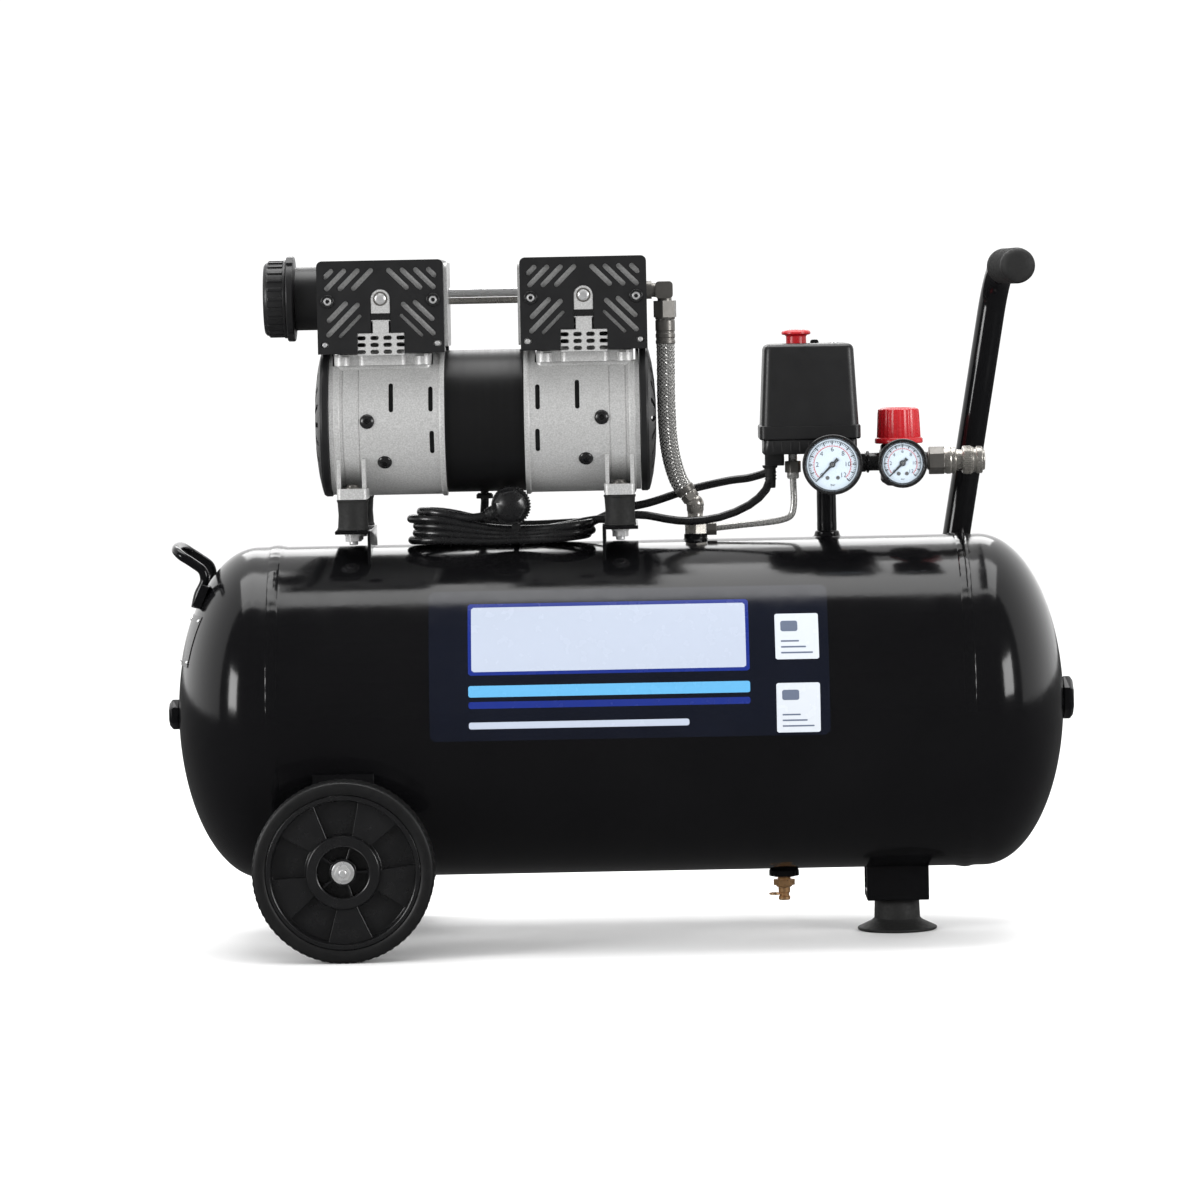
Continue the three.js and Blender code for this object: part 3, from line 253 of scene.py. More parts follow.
def cast_aluminium(look):
    """Bead-blasted die casting: bright specks, soft patches and a fine pitted surface."""
    look.set(Metallic=0.5)
    speckle = look.ranged(look.noise(800, 4), 0, 1, 0.36, 0.66)
    look.colours(speckle, (0.43, 0.43, 0.425), (0.58, 0.58, 0.575))
    look.roughness(look.noise(620), 0.4, 0.5)
    look.bump(look.noise(650, 3), 0.22, 0.00016)


def stator_black(look):
    """Satin black sleeve over the laminations, turned with fine rings."""
    look.set(Specular_IOR_Level=0.3)
    rings = look.noise(260, 2, look.stretched(1, 0.01, 0.01))
    look.colours(rings, (0.0038, 0.0038, 0.004), (0.0062, 0.0062, 0.0066))
    look.roughness(rings, 0.33, 0.4)
    look.bump(rings, 0.06, 0.00004)


def rotor_steel(look):
    look.set(Metallic=1.0)
    look.colours(look.noise(80), (0.09, 0.09, 0.095), (0.17, 0.17, 0.17))
    look.roughness(look.noise(200), 0.32, 0.5)
    look.bump(look.noise(600), 0.1, 0.0001)


def zinc_steel(look):
    """Bright zinc plate with a faint warm and cool cast."""
    look.set(Metallic=0.75)
    look.colours(look.noise(140), (0.66, 0.67, 0.69), (0.80, 0.79, 0.77))
    look.roughness(look.noise(300), 0.26, 0.38)
    look.bump(look.noise(600), 0.06, 0.00006)


def nickel_plate(look):
    look.set(Metallic=0.85)
    look.colours(look.noise(120), (0.40, 0.38, 0.35), (0.54, 0.52, 0.48))
    look.roughness(look.noise(300), 0.24, 0.36)
    look.bump(look.noise(600), 0.06, 0.00006)


def dull_nickel(look):
    """Nickel in a darker grey, on the hexagons and small fittings."""
    look.set(Metallic=0.75)
    look.colours(look.noise(120), (0.14, 0.135, 0.125), (0.23, 0.22, 0.205))
    look.roughness(look.noise(300), 0.3, 0.44)
    look.bump(look.noise(500), 0.08, 0.00008)


def steel_braid(look):
    """Stainless wire: parallel strands inside each ribbon of the braid."""
    look.set(Metallic=0.7)
    look.colours(look.noise(700), (0.34, 0.34, 0.33), (0.60, 0.59, 0.57))
    look.roughness(look.noise(400), 0.22, 0.34)
    look.bump(look.noise(1800), 0.15, 0.0001)


def brass(look):
    look.set(Metallic=0.8)
    look.colours(look.noise(200), (0.50, 0.27, 0.12), (0.66, 0.40, 0.20))
    look.roughness(look.noise(500), 0.26, 0.4)
    look.bump(look.noise(900), 0.12, 0.0001)


def red_plastic(look):
    look.set(Specular_IOR_Level=0.5)
    look.colours(look.noise(90), (0.36, 0.005, 0.010), (0.45, 0.009, 0.015))
    look.roughness(look.noise(400), 0.22, 0.34)
    look.bump(look.noise(700), 0.08, 0.0001)


def gauge_black(look):
    look.set(Specular_IOR_Level=0.5)
    look.colours(look.noise(80), (0.006, 0.006, 0.0065), (0.012, 0.012, 0.012))
    look.roughness(look.noise(500), 0.2, 0.3)


def cable_black(look):
    """Soft PVC sheath with a slight shine and handling marks."""
    look.set(Specular_IOR_Level=0.6)
    look.colours(look.noise(60), (0.005, 0.005, 0.0055), (0.010, 0.010, 0.0105))
    look.roughness(look.noise(150), 0.2, 0.34)
    look.bump(look.noise(400, 2), 0.06, 0.0001)


def gauge_glass(look):
    look.set(Alpha=0.07, Roughness=0.05, Specular_IOR_Level=0.5)
    look.colours(look.noise(20), (0.30, 0.34, 0.38), (0.36, 0.40, 0.44))


def dial_face(look):
    look.colours(look.noise(90), (0.56, 0.65, 0.74), (0.60, 0.69, 0.77))
    look.roughness(look.noise(300), 0.5, 0.62)


def decal(look):
    """Printed vinyl: a very dark blue film, glossier than it looks."""
    look.set(Specular_IOR_Level=0.35)
    look.colours(look.noise(14), (0.0036, 0.0045, 0.0085), (0.0058, 0.0072, 0.0135))
    look.roughness(look.noise(60), 0.13, 0.2)
    look.bump(look.noise(150, 2), 0.04, 0.0005)


def filter_paper(look):
    # Light and dark stripes in the paper's colour paint the shade of its pleats.
    look.colours(look.bands(160), (0.50, 0.42, 0.26), (0.68, 0.60, 0.42))
    look.roughness(look.noise(300), 0.7, 0.9)
    look.bump(look.noise(500), 0.3, 0.0004)


def printed(colour):
    """Ink or film of one colour, with slight unevenness."""
    def build(look):
        look.set(Specular_IOR_Level=0.35)
        darker = tuple(0.975 * c for c in colour)
        look.colours(look.noise(120), darker, colour)
        look.roughness(look.noise(80), 0.2, 0.3)
    return build


SLOT_LOOKS = [
    black_paint, black_plastic, wheel_plastic, black_rubber, tyre, cast_aluminium, stator_black, rotor_steel,
    zinc_steel,
    nickel_plate, steel_braid, brass, red_plastic, gauge_black, cable_black, gauge_glass, dial_face, decal,
    filter_paper, dull_nickel,
]
PRINTS = {
    "ink_black": ("dial_face", (0.008, 0.008, 0.009)),
    "ink_red": ("dial_face", (0.55, 0.02, 0.02)),
    "label_white": ("decal", (0.48, 0.51, 0.55)),
    "label_grey": ("decal", (0.10, 0.12, 0.17)),
    "band_pale": ("decal", (0.36, 0.40, 0.48)),
    "band_sky": ("decal", (0.09, 0.31, 0.53)),
    "band_deep": ("decal", (0.008, 0.02, 0.16)),
    "wheel_plastic": ("black_plastic", None),
    "dull_nickel": ("nickel_plate", None),
}
palette = {}


def paint(name):
    """The material of that name, built on first use, and the record's slot it belongs to."""
    slot, ink = PRINTS.get(name, (name, None))
    if name not in palette:
        look = Look(name)
        build = printed(ink) if ink else {f.__name__: f for f in SLOT_LOOKS}[name]
        build(look)
        palette[name] = look.material
    return palette[name], slot


# ---------------------------------------------------------------- shape tools
# A shape is (points in millimetres, faces as tuples of indices).

def merged(*shapes):
    points, faces = [], []
    for some_points, some_faces in shapes:
        start = len(points)
        points.extend(some_points)
        faces.extend(tuple(start + i for i in face) for face in some_faces)
    return points, faces


def placed(shape, matrix):
    return [matrix @ Vector(p) for p in shape[0]], shape[1]


def moved(shape, x=0, y=0, z=0):
    return placed(shape, Matrix.Translation((x, y, z)))


def spun(shape, axis, degrees):
    return placed(shape, Matrix.Rotation(math.radians(degrees), 4, axis))


def sided(shape, side, axis=0):
    """The shape itself for side 1, or its mirror image across an axis's plane for side -1."""
    scale = [1, 1, 1]
    scale[axis] = side
    return placed(shape, Matrix.Diagonal((*scale, 1)))


def on_pump(shape, side=1):
    """Places a shape made about the middle of the motor, for its right or left end."""
    return moved(sided(shape, side), PUMP_X, 0, PUMP_Z)


AXES = {
    "x": lambda u, v, w: Vector((w, u, v)),
    "y": lambda u, v, w: Vector((u, w, v)),
    "z": lambda u, v, w: Vector((u, v, w)),
}


def lathe(axis, profile, sides=72, centre=(0, 0, 0)):
    """Revolves (radius, station) pairs. The outline closes itself unless both ends lie on the axis."""
    place = AXES[axis]
    offset = Vector(centre)
    points, rings = [], []
    for radius, station in profile:
        count = sides if radius > 1e-6 else 1
        rings.append(range(len(points), len(points) + count))
        for i in range(count):
            angle = TURN * i / sides
            points.append(place(radius * math.cos(angle), radius * math.sin(angle), station) + offset)
    pairs = list(zip(rings, rings[1:]))
    if len(rings[0]) > 1 or len(rings[-1]) > 1:
        pairs.append((rings[-1], rings[0]))
    faces = []
    for a, b in pairs:
        for i in range(sides):
            j = (i + 1) % sides
            corners = [a[i % len(a)], a[j % len(a)], b[j % len(b)], b[i % len(b)]]
            face = tuple(dict.fromkeys(corners))
            if len(face) > 2:
                faces.append(face)
    return points, faces


def bar(axis, radius, start, end, centre=(0, 0, 0), sides=48):
    return lathe(axis, [(0, start), (radius, start), (radius, end), (0, end)], sides, centre)


def skin(rings, looped=False):
    """Joins rings of as many points each: either end to end in a loop, or capped at both ends."""
    count = len(rings[0])
    points = [point for ring in rings for point in ring]
    faces = []
    for r in range(len(rings) if looped else len(rings) - 1):
        a, b = r * count, (r + 1) % len(rings) * count
        faces += [(a + i, a + (i + 1) % count, b + (i + 1) % count, b + i) for i in range(count)]
    if not looped:
        faces += [tuple(range(count)), tuple(range(len(points) - count, len(points)))]
    return points, faces


def circle(centre, radius, first, second, sides):
    """Points round a centre, in the plane of two directions square to each other."""
    angles = (TURN * i / sides for i in range(sides))
    return [centre + radius * (first * math.cos(a) + second * math.sin(a)) for a in angles]


def prism(axis, outline, start, end):
    """Extrudes an outline: x takes (y, z), y takes (x, z) and z takes (x, y)."""
    place = AXES[axis]
    return skin([[place(u, v, station) for u, v in outline] for station in (start, end)])


def block(x0, x1, y0, y1, z0, z1):
    return prism("z", [(x0, y0), (x1, y0), (x1, y1), (x0, y1)], z0, z1)


def arc(u, v, radius, start, end, steps=6):
    """Points on an arc, with angles in degrees."""
    angles = [math.radians(start + (end - start) * i / steps) for i in range(steps + 1)]
    return [(u + radius * math.cos(a), v + radius * math.sin(a)) for a in angles]


def rounded(u0, u1, v0, v1, radius, steps=6):
    return [
        *arc(u1 - radius, v1 - radius, radius, 0, 90, steps),
        *arc(u0 + radius, v1 - radius, radius, 90, 180, steps),
        *arc(u0 + radius, v0 + radius, radius, 180, 270, steps),
        *arc(u1 - radius, v0 + radius, radius, 270, 360, steps),
    ]


def slot_outline(first, second, width, steps=8):
    heading = math.degrees(math.atan2(second[1] - first[1], second[0] - first[0]))
    return [
        *arc(*second, width / 2, heading - 90, heading + 90, steps),
        *arc(*first, width / 2, heading + 90, heading + 270, steps),
    ]


def hexagon(across, u=0, v=0, turn=0):
    return arc(u, v, across / math.sqrt(3), turn, turn + 300, 5)


def ball(radius, centre, steps=24):
    profile = [(radius * math.sin(math.pi * i / steps), -radius * math.cos(math.pi * i / steps))
               for i in range(steps + 1)]
    profile[0] = (0, -radius)
    profile[-1] = (0, radius)
    return lathe("z", profile, 2 * steps, centre)


def spline(knots, steps=6):
    """Centripetal Catmull-Rom through the knots, as the CAD routes are."""
    knots = [Vector(k) for k in knots]
    ends = [2 * knots[0] - knots[1], *knots, 2 * knots[-1] - knots[-2]]
    line = []
    for before, a, b, after in zip(ends, ends[1:], ends[2:], ends[3:]):
        gaps = [max((q - p).length ** 0.5, 1e-4) for p, q in ((before, a), (a, b), (b, after))]
        out = (a - before) / gaps[0] - (b - before) / (gaps[0] + gaps[1]) + (b - a) / gaps[1]
        into = (b - a) / gaps[1] - (after - a) / (gaps[1] + gaps[2]) + (after - b) / gaps[2]
        out, into = out * gaps[1], into * gaps[1]
        for i in range(steps):
            t = i / steps
            square, cube = t * t, t * t * t
            line.append(a * (2 * cube - 3 * square + 1) + out * (cube - 2 * square + t)
                        + b * (3 * square - 2 * cube) + into * (cube - square))
    return [*line, knots[-1]]


def frames(line):
    """Each point of a line with two directions square to it, carried along without twist."""
    line = [Vector(point) for point in line]
    tangents = [(b - a).normalized() for a, b in zip(line, line[1:])]
    tangents = [tangents[0], *[(a + b).normalized() for a, b in zip(tangents, tangents[1:])], tangents[-1]]
    side = tangents[0].orthogonal().normalized()
    found = []
    for point, tangent in zip(line, tangents):
        side = (side - tangent * side.dot(tangent)).normalized()
        found.append((point, side, tangent.cross(side)))
    return found


def rod(line, radius, sides=20):
    """A round bar along a line of points."""
    return skin([circle(point, radius, side, other, sides) for point, side, other in frames(line)])


def bead(line, radius, sides=10):
    """A closed loop of weld, a little lumpy."""
    rings = []
    for i, point in enumerate(line):
        ahead = (line[(i + 1) % len(line)] - line[i - 1]).normalized()
        side = ahead.orthogonal().normalized()
        swell = radius * (1 + 0.12 * math.sin(2.1 * i))
        rings.append(circle(point, swell, side, ahead.cross(side), sides))
    return skin(rings, looped=True)


# ---------------------------------------------------------------- piece tools

def raw_object(name, shape):
    mesh = bpy.data.meshes.new(name)
    mesh.from_pydata([Vector(p) * MM for p in shape[0]], [], shape[1])
    grown = bmesh.new()
    grown.from_mesh(mesh)
    bmesh.ops.recalc_face_normals(grown, faces=grown.faces)
    grown.to_mesh(mesh)
    grown.free()
    obj = bpy.data.objects.new(name, mesh)
    bpy.context.scene.collection.objects.link(obj)
    return obj


def carve(obj, cutters, overlapping=False):
    """Takes the cutters out of an object for good, joining its overlapping bodies first if it has any."""
    tools = [raw_object("cutter", shape) for shape in cutters]
    for tool in tools:
        modifier = obj.modifiers.new("carve", "BOOLEAN")
        modifier.operation = "DIFFERENCE"
        modifier.solver = "EXACT"
        modifier.use_self = overlapping
        modifier.object = tool
    settled = obj.evaluated_get(bpy.context.evaluated_depsgraph_get())
    mesh = bpy.data.meshes.new_from_object(settled)
    obj.modifiers.clear()
    obj.data = mesh
    for tool in tools:
        bpy.data.objects.remove(tool)


def soften(obj, width, angle=32, segments=2):
    """Rounds the sharp edges, so that they catch the light as real ones do."""
    obj.data.polygons.foreach_set("use_smooth", [True] * len(obj.data.polygons))
    obj.data.set_sharp_from_angle(angle=math.radians(angle))
    if not width:
        return
    modifier = obj.modifiers.new("rounding", "BEVEL")
    modifier.width = width * MM
    modifier.segments = segments
    modifier.limit_method = "ANGLE"
    modifier.angle_limit = math.radians(angle)
    modifier.harden_normals = True


def coat(obj, finish):
    """Gives an object one material."""
    material, slot = paint(finish)
    obj.data.materials.clear()
    obj.data.materials.append(material)


def piece(name, shape, finish, body="base", replaces=(), bevel=0.5, cuts=(), angle=32, overlapping=False):
    """A finished piece: cut, edges rounded, painted, and riding on its body."""
    obj = raw_object(name, shape)
    if cuts:
        carve(obj, cuts, overlapping)
    soften(obj, bevel, angle)
    coat(obj, finish)
    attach(obj, body)
    if replaces:
        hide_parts(*([replaces] if isinstance(replaces, str) else replaces))
    return obj


def dress(node, finish, bevel=0.5, angle=32):
    """A CAD node that stays: welded, with rounded edges and its material."""
    obj = frame["nodes"][node]
    weld = obj.modifiers.new("weld", "WELD")
    weld.merge_threshold = 0.02 * MM
    flat = obj.modifiers.new("flat", "DECIMATE")
    flat.decimate_type = "DISSOLVE"
    flat.angle_limit = math.radians(1)
    soften(obj, bevel, angle)
    coat(obj, finish)


def cable(name, line, radius, replaces):
    """A curve of one spline with a round section."""
    data = bpy.data.curves.new(name, "CURVE")
    data.dimensions = "3D"
    data.bevel_depth = radius * MM
    data.bevel_resolution = 5
    data.use_fill_caps = True
    strand = data.splines.new("POLY")
    strand.points.add(len(line) - 1)
    for point, position in zip(strand.points, line):
        point.co = (*(Vector(position) * MM), 1)
    strand.use_smooth = True
    obj = bpy.data.objects.new(name, data)
    bpy.context.scene.collection.objects.link(obj)
    coat(obj, "cable_black")
    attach(obj, "base")
    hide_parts(*replaces)
    return obj


# ---------------------------------------------------------------- the mains cord and its plug

GLAND = Vector((139, -8, 423.1))
LEAD_IN = [
    GLAND, (139, -8, 416), (134.6, -11, 402), (119, -14, 388.4), (92, -16, 378), (65, -16.4, 375),
    (44, -16, 377.4), (27, -15.6, 381), (10, -15, 381.4), (-6, -15, 378.6), (-16.7, -15, 378.4),
    (-30, -12, 376.6), (-44, -6, 373.4),
]
PLUG_CENTRE = Vector((-95.5, -46, 393.4))
PLUG_NECK = Vector((-0.928, 0, -0.371))
HANK = Box("cord_hank")
TIE_X = -91
HANK_MIDDLE_Y = (HANK.lo.y + HANK.hi.y) / 2
HANK_TURNS = 4
LOOP_RADIUS = 28


def smooth_step(value):
    t = min(max(value, 0), 1)
    return t * t * (3 - 2 * t)


def racetrack(share, half_length, radius):
    """A point on a loop with round ends, as a share of one turn from its right-hand tip."""
    straight = half_length - radius
    quarter = TURN * radius / 4
    distance = share % 1 * 4 * (straight + quarter)
    if distance < quarter:
        return straight + radius * math.cos(distance / radius), radius * math.sin(distance / radius)
    distance -= quarter
    if distance < 2 * straight:
        return straight - distance, radius
    distance -= 2 * straight
    if distance < 2 * quarter:
        return (-straight - radius * math.sin(distance / radius), radius * math.cos(distance / radius))
    distance -= 2 * quarter
    if distance < 2 * straight:
        return distance - straight, -radius
    distance -= 2 * straight
    return straight + radius * math.sin(distance / radius), -radius * math.cos(distance / radius)


def hank_point(turns):
    """Where the wound cord is after that many turns: bunched at the tie and fanned out at both ends."""
    whole = math.floor(turns)
    level = whole + smooth_step((turns - whole - 0.5) / 0.5)
    half_length = (HANK.size.x / 2) - CABLE_RADIUS - 0.5
    x, y = racetrack(turns, half_length - 3 * math.sin(1.9 * level) ** 2, LOOP_RADIUS)
    x += HANK.mid.x - 4 * math.sin(2.7 * level + 0.4)
    open_part = smooth_step(abs(x - TIE_X) / 42)
    bunched = math.copysign(15 + 2 * (math.sin(1.6 * level) ** 2), y) if abs(y) > 1 else 0
    y = HANK_MIDDLE_Y + y * open_part + bunched * (1 - open_part)
    at_tie = tank_height(y - HANK_MIDDLE_Y / 2) + CABLE_RADIUS + 3.1 * level
    rise = 6.4 * level + 1 if x < TIE_X else 3.4 * level + 0.5
    fanned = TANK_TOP_Z + CABLE_RADIUS + rise
    spread = smooth_step(abs(x - TIE_X) / 78)
    return Vector((x, y, at_tie * (1 - spread) + fanned * spread))


def eased(line, passes):
    """The same line with its bends relaxed, as a stiff cord lies."""
    for _ in range(passes):
        inner = [(a + 2 * b + c) / 4 for a, b, c in zip(line, line[1:], line[2:])]
        line = [line[0], *inner, line[-1]]
    return line


def cord_line():
    """The whole cord: from its gland along the receiver, round the hank, and into the plug."""
    samples_a_turn = 52
    start, end = 0.3, HANK_TURNS + 0.64
    count = int((end - start) * samples_a_turn)
    wound = [hank_point(start + (end - start) * i / count) for i in range(count + 1)]
    tip = PLUG_CENTRE + PLUG_NECK * 21
    into_plug = [tip + PLUG_NECK * 18 + Vector((0, 0, 4)), tip, PLUG_CENTRE + PLUG_NECK * 12]
    return spline([*LEAD_IN, *eased(wound, 6), *into_plug], 2)


def mains_plug():
    """A round moulded plug with a grip, a ribbed neck and two pins."""
    plug_body = lathe("y", [
        (0, -6), (17, -6.6), (17.4, -4), (17.4, 8), (17, 10.8), (15.4, 13.8), (0, 13.8),
    ], 64)
    front = spun(lathe("y", [(0, -14.6), (6.4, -13.8), (13.2, -10.6), (17, -5), (0, -5)], 8), "Y", 12)
    grip = [spun(moved(block(-0.8, 0.8, -8.4, -0.8, -1.2, 1.2), z=17.2), "Y", 22 + i * 9) for i in range(16)]
    neck_turn = math.degrees(math.atan2(PLUG_NECK.x, PLUG_NECK.z))
    neck = spun(lathe("z", [(0, 8), (8.4, 8), (7.4, 13), (5.6, 23.5), (0, 23.5)], 36), "Y", neck_turn)
    ribs = [spun(lathe("z", [(5, z), (7.6 - 0.16 * (z - 12), z), (7.6 - 0.16 * (z - 12), z + 1.3),
                             (5, z + 1.3)], 36),
                 "Y", neck_turn) for z in (13.4, 16.2, 19)]
    shape = moved(merged(plug_body, front, neck, *grip, *ribs), *PLUG_CENTRE)
    plug = piece("mains_plug", shape, "cable_black", replaces="power_plug", bevel=0.9)
    pins = [lathe("y", [(0, 12), (2.4, 12), (2.4, 31.6), (1.6, 33), (0, 33)], 24, (x, 0, -2))
            for x in (-9.5, 9.5)]
    return plug, piece("plug_pins", moved(merged(*pins), *PLUG_CENTRE), "nickel_plate", bevel=0.3)


def cord_relief():
    relief = lathe("z", [(3.9, 0), (6.2, 0), (5.8, -1.4), (4.9, -2.4), (4.5, -18), (4.1, -20), (3.9, -20)],
                   36,
                   (GLAND.x, GLAND.y, GLAND.z + 0.2))
    rings = [lathe("z", [(4.2, -z), (5.3, -z), (5.3, -z - 1.2), (4.2, -z - 1.2)], 36, tuple(GLAND))
             for z in (5, 8, 11)]
    return piece("cord_relief", merged(relief, *rings), "black_rubber", bevel=0.3)


def mains_cord():
    ends = [*mains_plug(), cable_tie(), cord_relief()]
    cord = cable("mains_cord", cord_line(), CABLE_RADIUS, replaces=("cord_tube", "cord_hank"))


def cable_tie():
    """The strap round the middle of the hank, with its square head."""
    low, high = TANK_TOP_Z - 0.5, TANK_TOP_Z + 23
    reach, thickness, half_width = 22, 1.2, 2.4
    sheath, lining = (rounded(HANK_MIDDLE_Y - reach + inset, HANK_MIDDLE_Y + reach - inset, low + inset,
                              high - inset, radius, 5) for inset, radius in ((0, 8), (thickness, 7)))
    rings = []
    for outside, inside in zip(sheath, lining):
        corners = ((-half_width, outside), (half_width, outside), (half_width, inside), (-half_width, inside))
        rings.append([Vector((TIE_X + across, *place)) for across, place in corners])
    head_y = HANK_MIDDLE_Y - reach
    head = block(TIE_X - 3.8, TIE_X + 3.8, head_y - 4.6, head_y + 1.8, high - 9, high - 3)
    return piece("cable_tie", merged(skin(rings, looped=True), head), "black_plastic", bevel=0.3)


mains_cord()


# ---------------------------------------------------------------- receiver

def receiver():
    band = 0.6
    half = [
        (TANK_RADIUS, SEAM_X - 9), (TANK_RADIUS + band, SEAM_X - 7), (TANK_RADIUS + band, SEAM_X + 6),
        (TANK_RADIUS, SEAM_X + 8),
        *[(TANK_RADIUS * math.cos(a), RIM_X + DOME_DEPTH * math.sin(a))
          for a in (i * TURN / 4 / 36 for i in range(35))],
        (13, TANK_HALF_LENGTH - 0.4), (12.4, TANK_HALF_LENGTH + 0.2), (0, TANK_HALF_LENGTH + 0.2),
    ]
    profile = [(r, -x) for r, x in reversed(half)] + half
    shell = lathe("x", profile, 160, (0, 0, TANK_AXIS_Z))
    bung = lathe("z", [(0, -12), (13.6, -9), (13.6, -4), (11, 0), (11, 5), (0, 5)], 40,
                 (DRAIN_X, 0, TANK_AXIS_Z - TANK_RADIUS + 2))
    piece("tank_shell", merged(shell, bung), "black_paint", replaces="tank", bevel=0.5, angle=25)
    for side, label in ((1, "right"), (-1, "left")):
        piece(f"seam_weld_{label}", seam_ring(side * SEAM_X), "black_paint", bevel=0)
        dress(f"end_plug_{label}", "black_paint", 0.8)


def seam_ring(x):
    """The weld round the receiver: overlapping ripples like laid coins."""
    steps, sides = 520, 8
    half_width = 5.4
    rings = []
    for i in range(steps):
        turn = TURN * i / steps
        ripple = 0.9 + 0.1 * math.sin(i * TURN / 7.4)
        ring = []
        for across in (TURN * k / sides for k in range(sides)):
            radius = TANK_RADIUS + 0.4 + 1.1 * ripple * math.sin(across)
            y, z = radius * math.cos(turn), TANK_AXIS_Z + radius * math.sin(turn)
            ring.append((x + half_width * math.cos(across), y, z))
        rings.append(ring)
    return skin(rings, looped=True)


def on_tank(x0, x1, z0, z1, lift, radius=4):
    """A thin film on the receiver's front, with rounded corners, in slices that follow its curve."""
    slices = 40
    rings = []
    for i in range(slices + 1):
        z = z0 + (z1 - z0) * i / slices
        near = min(z - z0, z1 - z, radius)
        inset = radius - math.sqrt(max(radius ** 2 - (radius - near) ** 2, 0))
        depth = math.sqrt((TANK_RADIUS + lift) ** 2 - (z - TANK_AXIS_Z) ** 2)
        inner = depth - 0.12
        left, right = x0 + inset, x1 - inset
        rings.append([(left, -depth, z), (right, -depth, z), (right, -inner, z), (left, -inner, z)])
    return skin(rings)


def front_decal():
    """A dark printed panel with plain bars and two blank labels."""
    piece("decal_panel", on_tank(-168.5, 184, 190.5, 320, 0.15), "decal", bevel=0)
    bars = [
        ("decal_bar_large_edge", -134, 114, 248, 309, 0.22, "band_deep"),
        ("decal_bar_large", -131, 111, 251, 306, 0.3, "band_pale"),
        ("decal_bar_sky", -134, 114, 229, 239, 0.22, "band_sky"),
        ("decal_bar_deep", -134, 114, 219, 225, 0.22, "band_deep"),
        ("decal_bar_small", -134, 60, 201, 207, 0.22, "band_pale"),
    ]
    for name, x0, x1, z0, z1, lift, finish in bars:
        piece(name, on_tank(x0, x1, z0, z1, lift, 2), finish, bevel=0)
    for label, z0, z1 in (("upper", 257, 296), ("lower", 193, 236.5)):
        piece(f"label_{label}", on_tank(137, 175.4, z0, z1, 0.22, 1.5), "label_white", bevel=0)
        lines = [on_tank(142, 170 - 6 * k, z0 + 5 + 5 * k, z0 + 6.4 + 5 * k, 0.3, 0.5) for k in range(3)]
        lines.append(on_tank(142, 157, z1 - 15, z1 - 6, 0.3, 2))
        piece(f"label_{label}_print", merged(*lines), "label_grey", bevel=0)


def dome_x(y, z):
    """How far along the left end of the receiver reaches, at a place seen from that end."""
    return RIM_X + DOME_DEPTH * math.sqrt(1 - (y ** 2 + z ** 2) / TANK_RADIUS ** 2)


def rating_plate():
    """A small blank metal plate with four rivets on the left end of the receiver."""
    y0, y1, z0, z1 = -72, -20, 47, 92
    steps = 14
    face, back = 0.7, -0.4
    heights = [z0 + (z1 - z0) * k / steps for k in range(steps + 1)]
    outline = [(z, face) for z in heights] + [(z, back) for z in reversed(heights)]
    rings = []
    for y in (y0 + (y1 - y0) * i / steps for i in range(steps + 1)):
        rings.append([(-dome_x(y, z) - lift, y, TANK_AXIS_Z + z) for z, lift in outline])
    piece("rating_plate", skin(rings), "gauge_black", bevel=0)
    rivets = [ball(1.9, (-dome_x(y, z) - 0.4, y, TANK_AXIS_Z + z), 12)
              for y in (y0 + 4, y1 - 4) for z in (z0 + 4, z1 - 4)]
    piece("plate_rivets", merged(*rivets), "zinc_steel", bevel=0)


def carry_bail():
    leg_y = 46
    leg = [(-380, 307), (-377, 319), (-371.5, 331), (-373, 340), (-382, 347.5), (-391, 353.5)]
    knots = [(x, -leg_y, z) for x, z in leg]
    knots += [(-396, 8 - leg_y, 357.5), (-396, leg_y - 8, 357.5)]
    knots += [(x, leg_y, z) for x, z in reversed(leg)]
    pads = []
    for y in (-leg_y, leg_y):
        pad = prism("x", rounded(-8.5, 8.5, -11, 11, 3), -4, 4)
        pads.append(moved(spun(pad, "Y", math.degrees(0.42)), -374.5, y, 317.5))
    piece("carry_bail", merged(rod(spline(knots, 10), 4.2, 20), *pads), "black_paint",
          replaces="carry_handle")


def foot():
    x = FOOT.mid.x
    low, high = FOOT.lo.z, FOOT.hi.z
    neck_top = high - 9
    pad = lathe("z", [
        (14, low + 4), (14, low), (34.6, low), (36, low + 1), (36, low + 2.6), (31, low + 5),
        (23.4, low + 8.6),
        (20.8, low + 11), (20.4, neck_top - 2), (19.4, neck_top), (6, neck_top), (6, high), (0, high),
        (0, low + 4),
    ], 72, (x, 0, 0))
    piece("foot_rubber", pad, "black_rubber", replaces="rubber_foot", bevel=0.5)
    dress("foot_bracket", "black_paint", 1.2)
    nut = prism("z", hexagon(17, 0, 0, 15), high - 5.4, high + 2)
    washer = bar("z", 11, high - 6.6, high - 5.2)
    piece("foot_nut", moved(merged(nut, washer), x), "zinc_steel", bevel=0.6)


# ---------------------------------------------------------------- wheels

